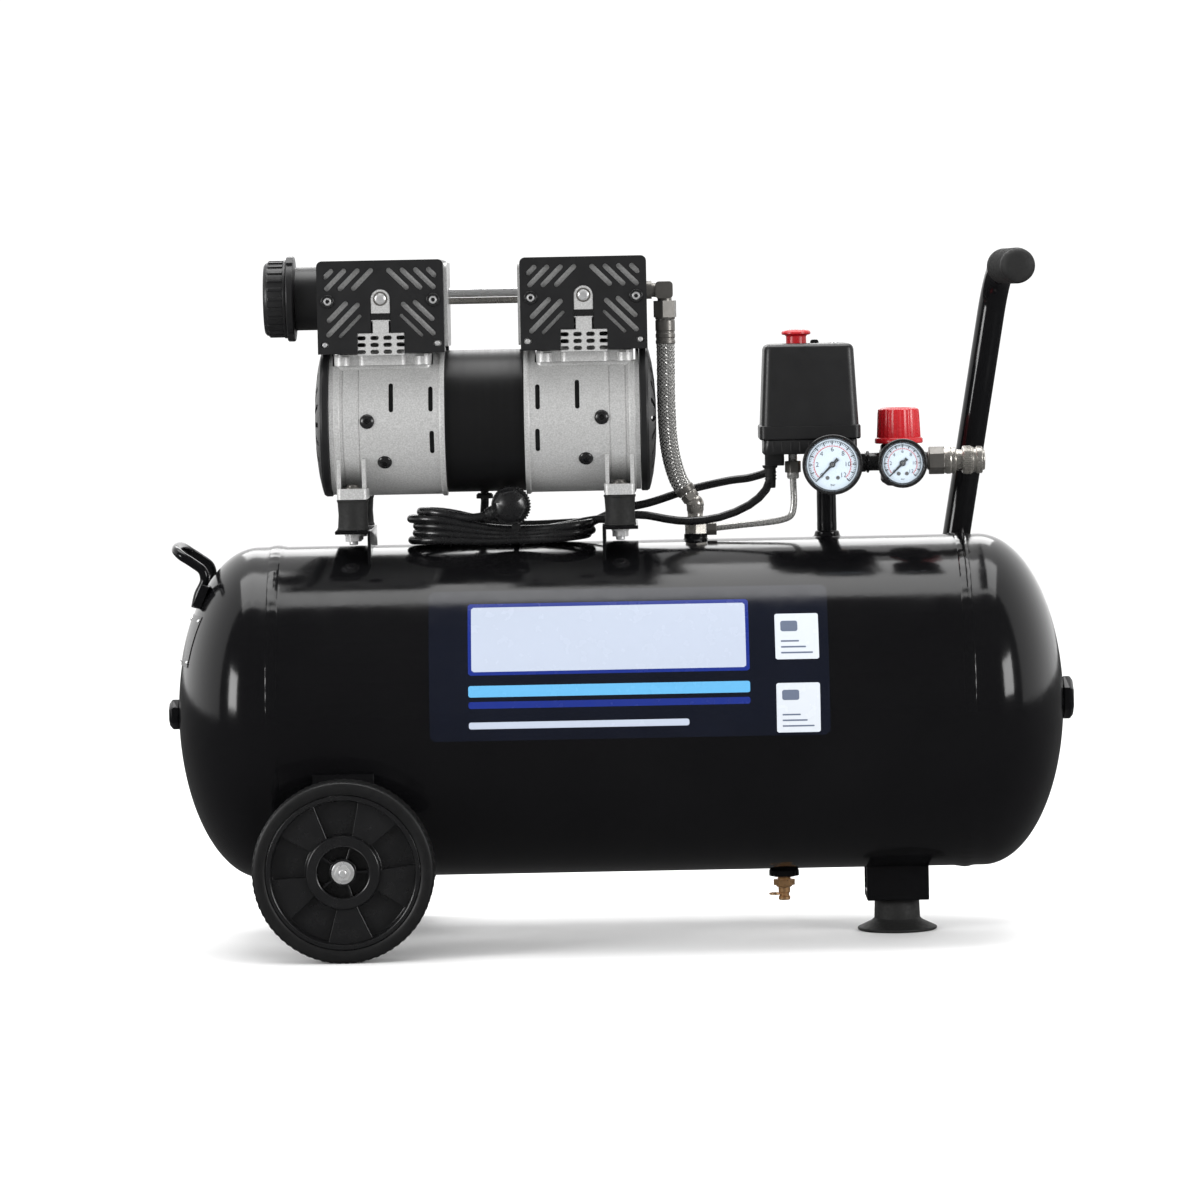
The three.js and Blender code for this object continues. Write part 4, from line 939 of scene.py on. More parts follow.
def wheel_hub_shape():
    web = -6
    body = lathe("y", [
        (8.4, -14), (12, -14), (12, -3), (22.6, -3), (22.6, -14.2), (24, -15.2), (31.4, -15.2), (32.6, -14),
        (33.6, web), (62.2, web), (63.6, -15.6), (64.6, -16.5), (67.6, -16.5), (68.4, -15.6), (68.4, 16.5),
        (63, 16.5), (61, 0), (14, 0), (14, 18), (8.4, 18),
    ], 120)
    panels = []
    for i in range(5):
        start = 41 + i * 72
        outline = [*arc(0, 0, 63.4, start, start + 36, 12), *arc(0, 0, 32.4, start + 34, start + 2, 8)]
        panels.append(prism("y", outline, web - 5.2, web + 1))
    ribs = [spun(block(11, 23.4, web - 5, -2, -1.1, 1.1), "Y", i * 72) for i in range(5)]
    rear = [spun(block(20, 62, -1, 12, -1.2, 1.2), "Y", 36 * i) for i in range(10)]
    return merged(body, *panels, *ribs, *rear)


def tyre_shape():
    profile = [
        (68.5, -16.8), (70.6, -18), (76.6, -18), (78.4, -17.2), (79.6, -15.4), (80, -13),
        (80, 13), (79.6, 15.4), (78.4, 17.2), (76.6, 18), (70.6, 18), (68.5, 16.8),
    ]
    lugs = []
    for i in range(72):
        for side in (-1, 1):
            lug = block(78.2, 80, side * 12.4 - 3.4, side * 12.4 + 3.4, -1.9, 1.9)
            lugs.append(spun(lug, "Y", i * 5 + 1.25 * side))
    body = lathe("y", [(min(r, 79.8), s) for r, s in profile], 144)
    return merged(body, *lugs)


def wheels():
    for side, label in ((1, "front"), (-1, "rear")):
        body = f"{label}_wheel"
        at_wheel = lambda shape: sided(moved(shape, WHEEL.mid.x, WHEEL.mid.y, WHEEL.mid.z), side, 1)
        piece(f"hub_{label}", at_wheel(wheel_hub_shape()), "wheel_plastic", body, f"wheel_hub_{label}", 0.9)
        piece(f"tread_{label}", at_wheel(tyre_shape()), "tyre", body, f"tyre_{label}", 0.35)
        dress(f"wheel_bracket_{label}", "black_paint", 1.2)
        washer = lathe("y", [(0, -16.4), (9.6, -16.4), (10, -16), (10, -15.2), (0, -15.2)], 48)
        bolt = prism("y", hexagon(13, 0, 0, 8), -22, -16.2)
        point = lathe("y", [(0, -23.6), (2.6, -23.6), (3.6, -22.8), (3.6, -21.8), (0, -21.8)], 32)
        piece(f"axle_bolt_{label}", at_wheel(merged(washer, bolt, point)), "zinc_steel", bevel=0.6)


# ---------------------------------------------------------------- push handle

HANDLE_BASE = Vector((308, 45, 350))
HANDLE_TOP = Vector((351, 45, 599.4))
HANDLE_END = Vector((357, -120, 599))
HANDLE_RADIUS = 12.5


def push_handle():
    bend = 42
    up = (HANDLE_TOP - HANDLE_BASE).normalized()
    forward = (HANDLE_END - HANDLE_TOP).normalized()
    start, end = HANDLE_TOP - up * bend, HANDLE_TOP + forward * bend
    first, second = HANDLE_TOP - up * bend * 0.448, HANDLE_TOP + forward * bend * 0.448
    elbow = []
    for i in range(25):
        t = i / 24
        near = start * (1 - t) ** 3 + first * 3 * t * (1 - t) ** 2
        elbow.append(near + second * 3 * t * t * (1 - t) + end * t ** 3)
    line = [HANDLE_BASE, *elbow, HANDLE_END]
    piece("handle_tube", rod(line, HANDLE_RADIUS, 40), "black_paint", replaces="push_handle", bevel=0.4)
    ring = []
    for i in range(56):
        angle = TURN * i / 56
        y = HANDLE_BASE.y + 13.2 * math.sin(angle)
        ring.append(Vector((HANDLE_BASE.x + 13.2 * math.cos(angle), y, tank_height(y) + 0.8)))
    piece("handle_weld", bead(ring, 2.4), "black_paint", bevel=0)


def handle_grip():
    """A ridged sleeve over the end of the tube, which leans outwards a little."""
    lean = math.degrees(math.atan2(HANDLE_END.x - HANDLE_TOP.x, HANDLE_TOP.y - HANDLE_END.y))
    front, rear = -6, 112
    profile = [
        (0, front), (9, front + 0.3), (12.6, front + 1.4), (14.6, front + 3.4), (15.4, front + 6.4),
        (15.4, rear - 5),
        (16, rear - 4), (16, rear - 0.6), (15.4, rear), (13, rear), (13, front + 5), (0, front + 5),
    ]
    sleeve = lathe("y", profile, 72)
    ridges = [lathe("y", [(15, y), (15.9, y + 0.5), (15.9, y + 1.6), (15, y + 2.1)], 72)
              for y in (front + 14 + 5.2 * i for i in range(18))]
    grip = moved(spun(merged(sleeve, *ridges), "Z", lean), *HANDLE_END)
    piece("grip_sleeve", grip, "black_rubber", replaces="handle_grip", bevel=0.4)


# ---------------------------------------------------------------- drain valve

def drain_valve():
    body = Box("drain_body")
    bottom = body.lo.z
    hexagonal = prism("z", hexagon(17), bottom + 1.6, bottom + 7)
    neck = lathe("z", [(0, bottom), (6.6, bottom), (7.8, bottom + 1.6), (7.8, bottom + 2.4),
                       (5.8, bottom + 3),
                       (5.8, body.hi.z), (0, body.hi.z)], 48)
    threads = [lathe("z", [(5.6, z), (6.2, z + 0.5), (5.6, z + 1)], 40)
               for z in (bottom + 7.2 + 1.1 * i for i in range(3))]
    piece("drain_valve_body", moved(merged(hexagonal, neck, *threads), DRAIN_X), "brass",
          replaces="drain_body", bevel=0.5)
    stem = lathe("z", [
        (0, 28.7), (4.6, 28.7), (5.4, 29.5), (5.4, 31.8), (4.4, 32.8), (4.4, 35), (5.4, 36),
        (5.4, bottom - 0.3),
        (0, bottom - 0.3),
    ], 40, (DRAIN_X, 0, 0))
    ring = [Vector((DRAIN_X - 8.4 + 4.8 * math.cos(TURN * i / 40), 4.8 * math.sin(TURN * i / 40), 34.4))
              for i in range(40)]
    piece("drain_valve_stem", merged(stem, bead(ring, 0.9)), "brass", "drain_stem", "drain_stem", 0.3)


# ---------------------------------------------------------------- motor

def motor_housing_shape():
    inner, end = HOUSING.lo.x - PUMP_X, HOUSING.hi.x - PUMP_X
    radius = 65.5
    lip = radius + 1.6
    bore = 61.5
    return lathe("x", [
        (lip, inner), (lip, inner + 3.4), (radius, inner + 5), (radius, 111.2), (radius - 0.7, 111.6),
        (radius - 0.7, 112.4), (radius, 112.8), (radius, end - 13.4), (radius - 0.8, end - 13),
        (radius - 0.8, end - 11.8),
        (radius, end - 11.4), (radius, end - 10), (lip, end - 8.5), (lip, end - 5), (radius - 1, end - 4),
        (radius - 1, end), (bore, end), (bore, 42.6), (8.5, 42.6), (8.5, inner),
    ], 128)


def motor_feet():
    """Two feet for one end of the motor, each a pad with two ribs and a boss for its bolt."""
    pad_z = FOOT_PAD_Z - PUMP_Z
    shapes = []
    for side in (-1, 1):
        near, far = sorted((side * 14, side * (MOUNT_Y + 14)))
        rib = sorted((side * 40, side * (MOUNT_Y + 10)))
        outline = rounded(MOUNT_OFFSET - 13.6, MOUNT_OFFSET + 13.6, near, far, 4)
        shapes.append(prism("z", outline, pad_z, pad_z + 9.6))
        for u in (-12.4, 10):
            outer_top = pad_z + (36 if side < 0 else 20)
            outline = [(rib[0], pad_z + 9), (rib[1], pad_z + 9), (rib[1], outer_top), (rib[0], pad_z + 36)]
            shapes.append(prism("x", outline, MOUNT_OFFSET + u, MOUNT_OFFSET + u + 3.4))
    return merged(*shapes)


def housing_slots():
    """The upright cooling slots, through the front and the rear of a housing."""
    runs = [((83.2, 12.4), (83.2, 34), 4.1), ((47.8, 12.4), (47.8, 30.6), 4.1),
            ((47.2, -25), (47.2, -8.8), 4.1)]
    return [prism("y", slot_outline(a, b, width), -80, 80) for a, b, width in runs]


def air_guide():
    """A dark sleeve inside a housing: painted shade seen through its cooling slots."""
    return lathe("x", [(59.4, 43), (60.9, 43), (60.9, 116), (59.4, 116)], 96)


def seat_flange():
    """The flat seat under a cylinder."""
    return prism("z", rounded(46.5, 134.5, -43.5, 43.5, 6), 45, 52)


def motor_housings():
    bore = bar("z", 28.4, 20, 75, (CYLINDER_OFFSET, 0, 0), 48)
    inside = bar("x", 60, 43, 160, sides=96)
    for side, label in ((1, "right"), (-1, "left")):
        above = block(45.6, 136, -90, 90, 52, 90)
        piece(f"housing_{label}", on_pump(motor_housing_shape(), side), "cast_aluminium",
              replaces=f"motor_housing_{label}", bevel=0.35,
              cuts=[on_pump(c, side) for c in [*housing_slots(), above, bore]])
        piece(f"housing_seat_{label}", on_pump(seat_flange(), side), "cast_aluminium", bevel=0.8,
              cuts=[on_pump(inside, side), on_pump(bore, side)])
        piece(f"motor_feet_{label}", on_pump(motor_feet(), side), "cast_aluminium", bevel=1.4,
              cuts=[on_pump(bar("x", 64.6, 43, 160, sides=96), side)])
        # A dark sleeve inside each housing paints the shade behind its cooling slots.
        piece(f"air_guide_{label}", on_pump(air_guide(), side), "black_plastic", bevel=0.3,
              cuts=[on_pump(bore, side), on_pump(block(46, 135, -44, 44, 40, 70), side)])
        for spot, (u, z) in (("upper", (104.8, 2.5)), ("lower", (90, -34.4))):
            tilt = -math.degrees(math.asin(z / 65.5))
            for face, front in (("front", 1), ("rear", -1)):
                on_housing = lambda shape: on_pump(
                    moved(sided(spun(moved(shape, y=-65.2), "X", tilt), front, 1), u), side)
                piece(f"motor_screw_{spot}_{face}_{label}", on_housing(button_screw(6.6, 3.4)), "gauge_black",
                      bevel=0.25, cuts=[on_housing(hex_recess(4.6))])


def button_screw(radius, height):
    """A domed screw head that stands out along -Y."""
    dome = arc(0, 0, 1, 0, 80, 8)
    return lathe("y", [(0, 1.5), (radius, 1.5), *[(radius * u, -height * v) for u, v in dome], (0, -height)],
                 40)


def hex_recess(across):
    """What an Allen key takes out of a screw head that stands out along -Y."""
    return prism("y", hexagon(across), -6, -1.2)


def stator_and_rotor():
    half = STATOR.size.x / 2
    radius = STATOR.size.z / 2
    sleeve = [
        (34.6, -half), (radius - 0.6, -half), (radius, 0.6 - half),
        (radius, half - 0.6), (radius - 0.6, half), (34.6, half),
    ]
    piece("stator_sleeve", on_pump(lathe("x", sleeve, 128)), "stator_black", replaces="stator", bevel=0.15)
    dress("rotor", "rotor_steel", 0.6)
    for side, label in ((1, "right"), (-1, "left")):
        hub = lathe("x", [(8.1, 119), (14, 119), (14, 134), (8.1, 134)], 40)
        blades = []
        for i in range(9):
            blade = spun(block(-1, 1, -7.5, 7.5, 13, 43.5), "Z", 52)
            blades.append(spun(moved(blade, 126.5), "X", 40 * i))
        piece(f"fan_{label}", on_pump(merged(hub, *blades), side), "black_plastic", "rotor", bevel=0.5)


def end_guards():
    start = Box("end_guard_right").lo.x - PUMP_X
    profile = [
        (58.6, start), (65.2, start), (66, start + 0.8), (66, start + 5.6), (64.6, start + 7.6),
        (60, start + 9),
        (50, start + 11.2), (34, start + 13.4), (16, start + 14.4), (0, start + 14.6), (0, start + 12.2),
        (16, start + 12), (34, start + 11), (50, start + 8.6), (58.6, start + 6.4),
    ]
    outer = [spun(prism("x", slot_outline((0, 30), (0, 54), 4.6), start + 3, start + 22), "X", 18 * i)
             for i in range(20)]
    inner = [spun(prism("x", slot_outline((0, 12), (0, 22), 4), start + 3, start + 22), "X", 36 * i)
             for i in range(10)]
    for side, label in ((1, "right"), (-1, "left")):
        piece(f"fan_guard_{label}", on_pump(lathe("x", profile, 112), side), "black_plastic",
              replaces=f"end_guard_{label}", bevel=0.4, cuts=[on_pump(merged(*outer, *inner), side)])


def mounts():
    bottom, top = BRACKET_TOP_Z + 0.3, FOOT_PAD_Z - 0.3
    for right, label_x in ((1, "right"), (-1, "left")):
        dress(f"pump_bracket_{label_x}", "black_paint", 1)
        for rear, label_y in ((-1, "front"), (1, "rear")):
            x, y = PUMP_X + right * MOUNT_OFFSET, rear * MOUNT_Y
            name = f"{label_y}_{label_x}"
            height = top - bottom
            bobbin = lathe("z", [
                (0, 0), (14.4, 0), (14.4, 1.6), (13.8, 2.4), (13.1, height * 0.5), (13.8, height - 2.4),
                (14.4, height - 1.6), (14.4, height), (0, height),
            ], 56, (x, y, bottom))
            piece(f"mount_{name}", bobbin, "black_rubber", replaces=f"rubber_mount_{name}", bevel=0.5)
            stud = lathe("z", [(0, BRACKET_TOP_Z - 13), (3.4, BRACKET_TOP_Z - 13), (4, BRACKET_TOP_Z - 12.4),
                               (4, bottom + 1), (0, bottom + 1)], 32, (x, y, 0))
            nut = prism("z", hexagon(13, x, y, 12), BRACKET_TOP_Z - 9.8, BRACKET_TOP_Z - 4.6)
            washer = bar("z", 8, BRACKET_TOP_Z - 4.6, BRACKET_TOP_Z - 3.1, (x, y, 0))
            piece(f"mount_nut_{name}", merged(stud, nut, washer), "zinc_steel", bevel=0.4)
            pad_top = FOOT_PAD_Z + 9.6
            head = lathe("z", [(0, pad_top), (5.6, pad_top), (5.6, pad_top + 2.6), (4.6, pad_top + 3.6),
                               (0, pad_top + 3.6)],
                         36, (x, y, 0))
            washer = bar("z", 8, pad_top - 0.2, pad_top + 1, (x, y, 0))
            piece(f"foot_bolt_{name}", merged(head, washer), "dull_nickel", bevel=0.4)


# ---------------------------------------------------------------- cylinders and covers

HOOD_LOW = HOOD.lo.z - PUMP_Z
HOOD_HIGH = HOOD.hi.z - PUMP_Z
HOOD_HALF = HOOD.size.x / 2
HOOD_FRONT = HOOD.lo.y
TAB_HALF = 8.3
TAB_TOP = HOOD_HIGH - 26
GRILLE_HALF = 20.6
GRILLE_TOP = HOOD_HIGH - 65
BOSS_FACE = Box("cylinder_right").lo.x - HOOD.mid.x


def casting_shape():
    """One cylinder and head, about its own axis, with the other cylinder towards -X."""
    face = HOOD_FRONT + 0.6
    fins = [prism("z", rounded(-46, 46, -50, 50, 6), z, z + 2.4) for z in (66.5, 72.5, 78.5, 84.5, 90.5)]
    tab = prism("y", [(-TAB_HALF, 92), (TAB_HALF, 92), *arc(0, TAB_TOP - TAB_HALF, TAB_HALF, 0, 180, 20)],
                face, -50)
    grille = block(-GRILLE_HALF, GRILLE_HALF, face, face + 3, HOOD_LOW - 1.6, GRILLE_TOP)
    shelf = block(-GRILLE_HALF, GRILLE_HALF, face, -30, GRILLE_TOP - 2.4, GRILLE_TOP)
    neck = block(-TAB_HALF + 1.2, TAB_HALF - 1.2, face + 0.4, -30, GRILLE_TOP - 1, 93)
    boss = prism("x", rounded(-46, 52, HOOD_LOW + 5, HOOD_HIGH - 3, 8), BOSS_FACE, -47)
    head = prism("z", rounded(-49, 49, -52, 52, 8), 96, 138)
    shields = [prism("y", rounded(-50, 50, 68, 141, 5), *sorted((side * 60.6, side * 63.2)))
               for side in (-1, 1)]
    webs = [block(-46 + 13 * i, -44 + 13 * i, -60, 60, 94, 139) for i in range(8)]
    base = merged(
        prism("z", rounded(-43.6, 43.6, -46, 46, 9), 52.3, 62),
        *[bar("z", 7, 52.3, 60, (u, y, 0), 32) for u in (-36, 36) for y in (-45, 45)],
        *[prism("z", rounded(-21, 21, y - 6, y + 6, 5), 52.3, 61) for y in (-46, 46)],
    )
    return merged(base, bar("z", 33, 55, 100, sides=64), bar("z", 27.4, 46, 56, sides=64), *fins, *shields,
                  *webs,
                  head, boss, tab, grille, shelf, neck)


def casting_cuts():
    vents = [prism("y", slot_outline((x - 1.9, z), (x + 1.9, z), 3.8), -72, -60)
             for x in (-17.4, -5.8, 5.8, 17.4) for z in (64.5, 70.7, 76.9)]
    window = prism("x", rounded(-34, -20, HOOD_LOW + 8, HOOD_LOW + 14, 2.5), -70, -58)
    behind = block(-GRILLE_HALF + 1, GRILLE_HALF - 1, -63.4, -56, HOOD_LOW - 3, GRILLE_TOP - 2.6)
    gaps = [block(*sorted((side * (TAB_HALF - 1.2), side * 22)), -70, -57, GRILLE_TOP + 0.2, 92)
            for side in (-1, 1)]
    slit = block(-TAB_HALF - 1, TAB_HALF + 1, -70, -57, 93.4, 97.2)
    return [merged(*vents, bar("z", 23, 40, 95, sides=64)), window, behind, *gaps, slit]


def hood_outline(inset):
    return [
        (HOOD_HALF - inset, HOOD_LOW - inset), *arc(HOOD_HALF - 5, HOOD_HIGH - 5, 5 - inset, 0, 90),
        *arc(5 - HOOD_HALF, HOOD_HIGH - 5, 5 - inset, 90, 180), (inset - HOOD_HALF, HOOD_LOW - inset),
    ]


def hood_slots():
    """Slanting cooling slots in mirrored pairs, on the front and the rear alike."""
    outlines = []
    runs = [(8, 9, 22, 4.4), (20, 9, 22, 4.4), (32, 9, 22, 4.4), (43.5, 9, 7, 4.4), (31, 38, 21, 4.4),
            (20.5, 39.5, 37, 4.4), (18.5, 49.5, 25, 3)]
    for x, drop, length, width in runs:
        step = length / math.sqrt(2)
        top = (x, HOOD_HIGH - drop)
        low = (x + step, HOOD_HIGH - drop - step)
        outlines.append(slot_outline(low, top, width))
        outlines.append(slot_outline((-low[0], low[1]), (-top[0], top[1]), width))
    return [prism("y", outline, HOOD_FRONT - 5, -HOOD_FRONT + 5) for outline in outlines]


def hood_cuts(hole_radius, hole_z):
    window = TAB_HALF + 0.5
    tab = prism("y", [(-window, HOOD_LOW - 5), (window, HOOD_LOW - 5),
                      *arc(0, TAB_TOP - TAB_HALF, window, 0, 180, 20)], HOOD_FRONT - 5, 0)
    edge = GRILLE_HALF + 0.5
    corners = [prism("y", slot_outline((s * 49, HOOD_LOW + 8.4), (s * 51.4, HOOD_LOW + 8.4), 5),
                     HOOD_FRONT - 5, HOOD_FRONT + 5) for s in (-1, 1)]
    return [
        prism("y", hood_outline(3), HOOD_FRONT + 3, -HOOD_FRONT - 3),
        merged(*hood_slots(), *corners),
        tab,
        block(-edge, edge, HOOD_FRONT - 5, 0, HOOD_LOW - 5, GRILLE_TOP + 0.5),
        block(-HOOD_HALF - 5, -40, -46.6, 52.6, HOOD_LOW - 5, HOOD_HIGH - 2.3),
        bar("x", hole_radius, 40, HOOD_HALF + 5, (0, 0, hole_z)),
        bar("x", 67.5, 40, HOOD_HALF + 5, sides=96),
    ]


def cylinders_and_hoods():
    intake_hole = (29, Box("intake_base").mid.z - PUMP_Z)
    elbow_hole = (8.6, ELBOW_Z - PUMP_Z)
    for side, label, hole in ((1, "right", elbow_hole), (-1, "left", intake_hole)):
        at_cylinder = lambda shape: on_pump(moved(shape, CYLINDER_OFFSET), side)
        piece(f"casting_{label}", at_cylinder(casting_shape()), "cast_aluminium",
              replaces=f"cylinder_{label}",
              bevel=0.6, cuts=[at_cylinder(c) for c in casting_cuts()], overlapping=True)
        hood = prism("y", hood_outline(0), HOOD_FRONT, -HOOD_FRONT)
        piece(f"hood_{label}", at_cylinder(hood), "black_plastic", replaces=f"head_cover_{label}", bevel=0.8,
              cuts=[at_cylinder(c) for c in hood_cuts(*hole)])
        dress(f"piston_{label}", "cast_aluminium", 0.6)
        hood_screws(at_cylinder, label)
        tab_fittings(at_cylinder, label)


def hood_screws(at_cylinder, label):
    """Two collared screws on the front of a hood, and the two small ones in its lower corners."""
    screw_z = HOOD_HIGH - 36
    for spot, u in (("inner", -47), ("outer", 47)):
        seat = (u, HOOD_FRONT, screw_z)
        head = lathe("y", [(0, 0.5), (3.5, 0.5), (3.5, -0.6), (2.9, -1.1), (0, -1.1)], 40, seat)
        recess = prism("y", hexagon(3.4, u, screw_z), HOOD_FRONT - 3, HOOD_FRONT + 0.3)
        rim = lathe("y", [(3.9, 0.4), (6.2, 0.4), (6.2, -0.8), (5.6, -1.5), (4.4, -1.5), (3.9, -0.9)], 40,
                    seat)
        piece(f"hood_screw_{spot}_{label}", at_cylinder(head), "zinc_steel", bevel=0.15,
              cuts=[at_cylinder(recess)])
        # A dark hexagon at the floor of each screw's socket: painted shade in the recess.
        piece(f"hood_screw_bore_{spot}_{label}", at_cylinder(prism("y", hexagon(3.3, u, screw_z),
              HOOD_FRONT - 0.1, HOOD_FRONT + 0.4)), "gauge_black", bevel=0)
        piece(f"hood_collar_{spot}_{label}", at_cylinder(rim), "gauge_black", bevel=0.3)
        corner = lathe("y", [(0, 2.4), (2.3, 2.4), (2.3, 0.6), (1.6, 0), (0, 0)], 32,
                       (math.copysign(50.2, u), HOOD_FRONT, HOOD_LOW + 8.4))
        piece(f"hood_corner_screw_{spot}_{label}", at_cylinder(corner), "zinc_steel", bevel=0.1)


def tab_fittings(at_cylinder, label):
    """The screw and its washer on the casting's tab, and a dark block over the tab's slit that paints the
    slit's shade.
    """
    seat_z = TAB_TOP - TAB_HALF
    tab_screw = lathe("y", [(0, 0.2), (4.6, 0.2), (4.8, -0.5), (3.6, -1.3), (0, -1.3)], 40,
                      (0, HOOD_FRONT + 0.6, seat_z))
    socket = prism("y", hexagon(3.6, 0, seat_z, 10), HOOD_FRONT - 4, HOOD_FRONT - 0.1)
    ring = lathe("y", [(5, 0.2), (6.4, 0.2), (6.4, -0.4), (5, -0.4)], 40, (0, HOOD_FRONT + 0.6, seat_z))
    piece(f"tab_screw_{label}", at_cylinder(tab_screw), "zinc_steel", bevel=0.2, cuts=[at_cylinder(socket)])
    piece(f"tab_washer_{label}", at_cylinder(ring), "dull_nickel", bevel=0.15)
    # A dark block over the slit in the tab: painted shade of the slit.
    step = block(-TAB_HALF - 0.4, TAB_HALF + 0.4, HOOD_FRONT + 0.3, HOOD_FRONT + 3, 92.8, 98.8)
    piece(f"tab_slit_shade_{label}", at_cylinder(step), "gauge_black", bevel=0.2)


def intake():
    base, cap = Box("intake_base"), Box("intake_cap")
    z = base.mid.z
    neck = lathe("x", [
        (24, base.hi.x), (28.5, base.hi.x), (28.5, base.lo.x + 8.4), (30, base.lo.x + 7.6),
        (37.4, base.lo.x + 7.1),
        (38.4, base.lo.x + 6.2), (38.4, base.lo.x + 1), (37.4, base.lo.x), (24, base.lo.x),
    ], 88, (0, 0, z))
    lugs = [spun(block(base.lo.x + 0.6, base.lo.x + 6.6, -5, 5, 36, 40.4), "X", a) for a in (30, 150, 270)]
    piece("intake_neck", merged(neck, *[moved(lug, z=z) for lug in lugs]), "black_plastic",
          replaces="intake_base", bevel=0.6)
    left, right = cap.lo.x, cap.hi.x
    shell = lathe("x", [
        (33.4, right), (33.4, left + 4.4), (32.6, left + 1.8), (30.6, left), (22, left), (21, left + 1.2),
        (11.6, left + 1.2), (10, left), (10, left + 2.5), (29.6, left + 3), (29.6, right),
    ], 88)
    ribs = [spun(prism("y", [(left + 3, 32.8), (right - 2.6, 32.8), (right - 2.6, 34.6), (left + 4.6, 34.6)],
                       -1.5, 1.5),
                 "X", 15 * i) for i in range(24)]
    flange = lathe("x", [(33, right), (35.4, right), (35.4, right - 2.4), (33, right - 2.4)], 88)
    piece("intake_twist_cap", moved(merged(shell, flange, *ribs), z=z), "black_plastic", "intake_cap",
          "intake_cap", 0.45)
    pleats = []
    for i in range(96):
        radius = 27.6 if i % 2 else 22
        pleats.append((radius * math.cos(TURN * i / 96), radius * math.sin(TURN * i / 96)))
    element = prism("x", pleats, left + 5, right - 1)
    piece("filter_element", moved(element, z=z), "filter_paper", bevel=0)


def air_tubes():
    for label, finish in (("upper", "zinc_steel"), ("lower", "nickel_plate")):
        box = Box(f"crossover_tube_{label}")
        tube = bar("x", box.size.z / 2, box.lo.x, box.hi.x, tuple(box.mid - Vector((box.mid.x, 0, 0))))
        piece(f"crossover_{label}", tube, finish, replaces=f"crossover_tube_{label}", bevel=0.3)


# ---------------------------------------------------------------- discharge line

HOSE_TOP = Vector((46.5, 0, 556.6))
ELBOW_Z = 584
VALVE_HEAD_Z = 390
INLET_TILT = 0.6
HOSE_RADIUS = 7.9


def on_inlet(distance):
    return Vector((CHECK_VALVE_X - distance * math.sin(INLET_TILT), 0,
                   VALVE_HEAD_Z + distance * math.cos(INLET_TILT)))


def discharge_elbow():
    x, z = HOSE_TOP.x, ELBOW_Z
    start = PUMP_X + CYLINDER_OFFSET + 49.3
    bend = spline([(start, 0, z), (x - 12, 0, z), (x - 4, 0, z - 1.6), (x - 0.6, 0, z - 6), (x, 0, z - 14),
                   (x, 0, 566)], 8)
    arm = rod(bend, 6.4, 36)
    collar = bar("x", 8.2, start + 7, start + 12, (0, 0, z))
    corner = prism("y", rounded(x - 8.4, x + 7.4, z - 8, z + 7.4, 3.4), -7.6, 7.6)
    nut = prism("z", hexagon(19, x, 0, 20), 559, 574)
    skirt = lathe("z", [(0, 556.8), (8.4, 556.8), (9, 558), (9, 560), (0, 560)], 40, (x, 0, 0))
    piece("discharge_fitting", merged(arm, collar, corner, nut, skirt), "dull_nickel",
          replaces="discharge_elbow", bevel=0.9)


def hose_line():
    knots = [HOSE_TOP, (46.4, 0, 520), (46.2, 0, 480), (47.8, 0, 446), (51.6, 0, 425), on_inlet(24),
             on_inlet(12.3)]
    return spline(knots, 14)


def braid(line, radius, carriers, pitch, width):
    """Flat ribbons of wire round a hose: half wind each way, passing over and under each other."""
    along = [0]
    for a, b in zip(line, line[1:]):
        along.append(along[-1] + (b - a).length)
    section = ((-1, -0.5), (-0.33, 0.1), (0, -0.1), (0.33, 0.1), (1, -0.5), (0, -0.8))
    ribbons = []
    for way in (1, -1):
        for i in range(carriers):
            rings = []
            for (point, side, other), distance in zip(frames(line), along):
                swing = TURN * distance / pitch
                angle = TURN * i / carriers + way * swing
                out = side * math.cos(angle) + other * math.sin(angle)
                round_way = other * math.cos(angle) - side * math.sin(angle)
                ahead = side.cross(other)
                heading = (ahead * pitch / TURN / radius + way * round_way).normalized()
                across = heading.cross(out)
                height = radius + way * 0.45 * math.cos(carriers * swing)
                rings.append([point + out * (height + 0.5 * v) + across * (u * width / 2) for u,
                              v in section])
            ribbons.append(skin(rings))
    return merged(*ribbons)


def discharge_hose():
    line = hose_line()
    piece("hose_core", rod(line, HOSE_RADIUS - 0.5, 24), "gauge_black", replaces="discharge_hose", bevel=0.2)
    fine = []
    for a, b in zip(line, line[1:]):
        fine += [a, (a + b) / 2]
    piece("hose_braid", braid([*fine, line[-1]], HOSE_RADIUS + 0.1, 12, 40, 1.75), "steel_braid", bevel=0)
    inner, outer = HOSE_RADIUS - 0.3, HOSE_RADIUS + 1
    groove = outer - 0.5
    ferrule = lathe("z", [
        (inner, 535), (outer - 0.4, 535), (outer, 535.6), (outer, 538), (groove, 538.6), (groove, 540.4),
        (outer, 541), (outer, 544), (groove, 544.6), (groove, 546.4), (outer, 547), (outer, 556),
        (groove, 556.7), (inner, 556.7),
    ], 48, (HOSE_TOP.x, 0, 0))
    low = lathe("z", [(inner, 0), (outer - 0.4, 0), (outer, 0.6), (outer, 5), (groove, 5.6), (inner, 5.6)],
                48)
    low = moved(spun(low, "Y", -math.degrees(INLET_TILT)), *on_inlet(12.6))
    piece("hose_ferrules", merged(ferrule, low), "dull_nickel", bevel=0.25)


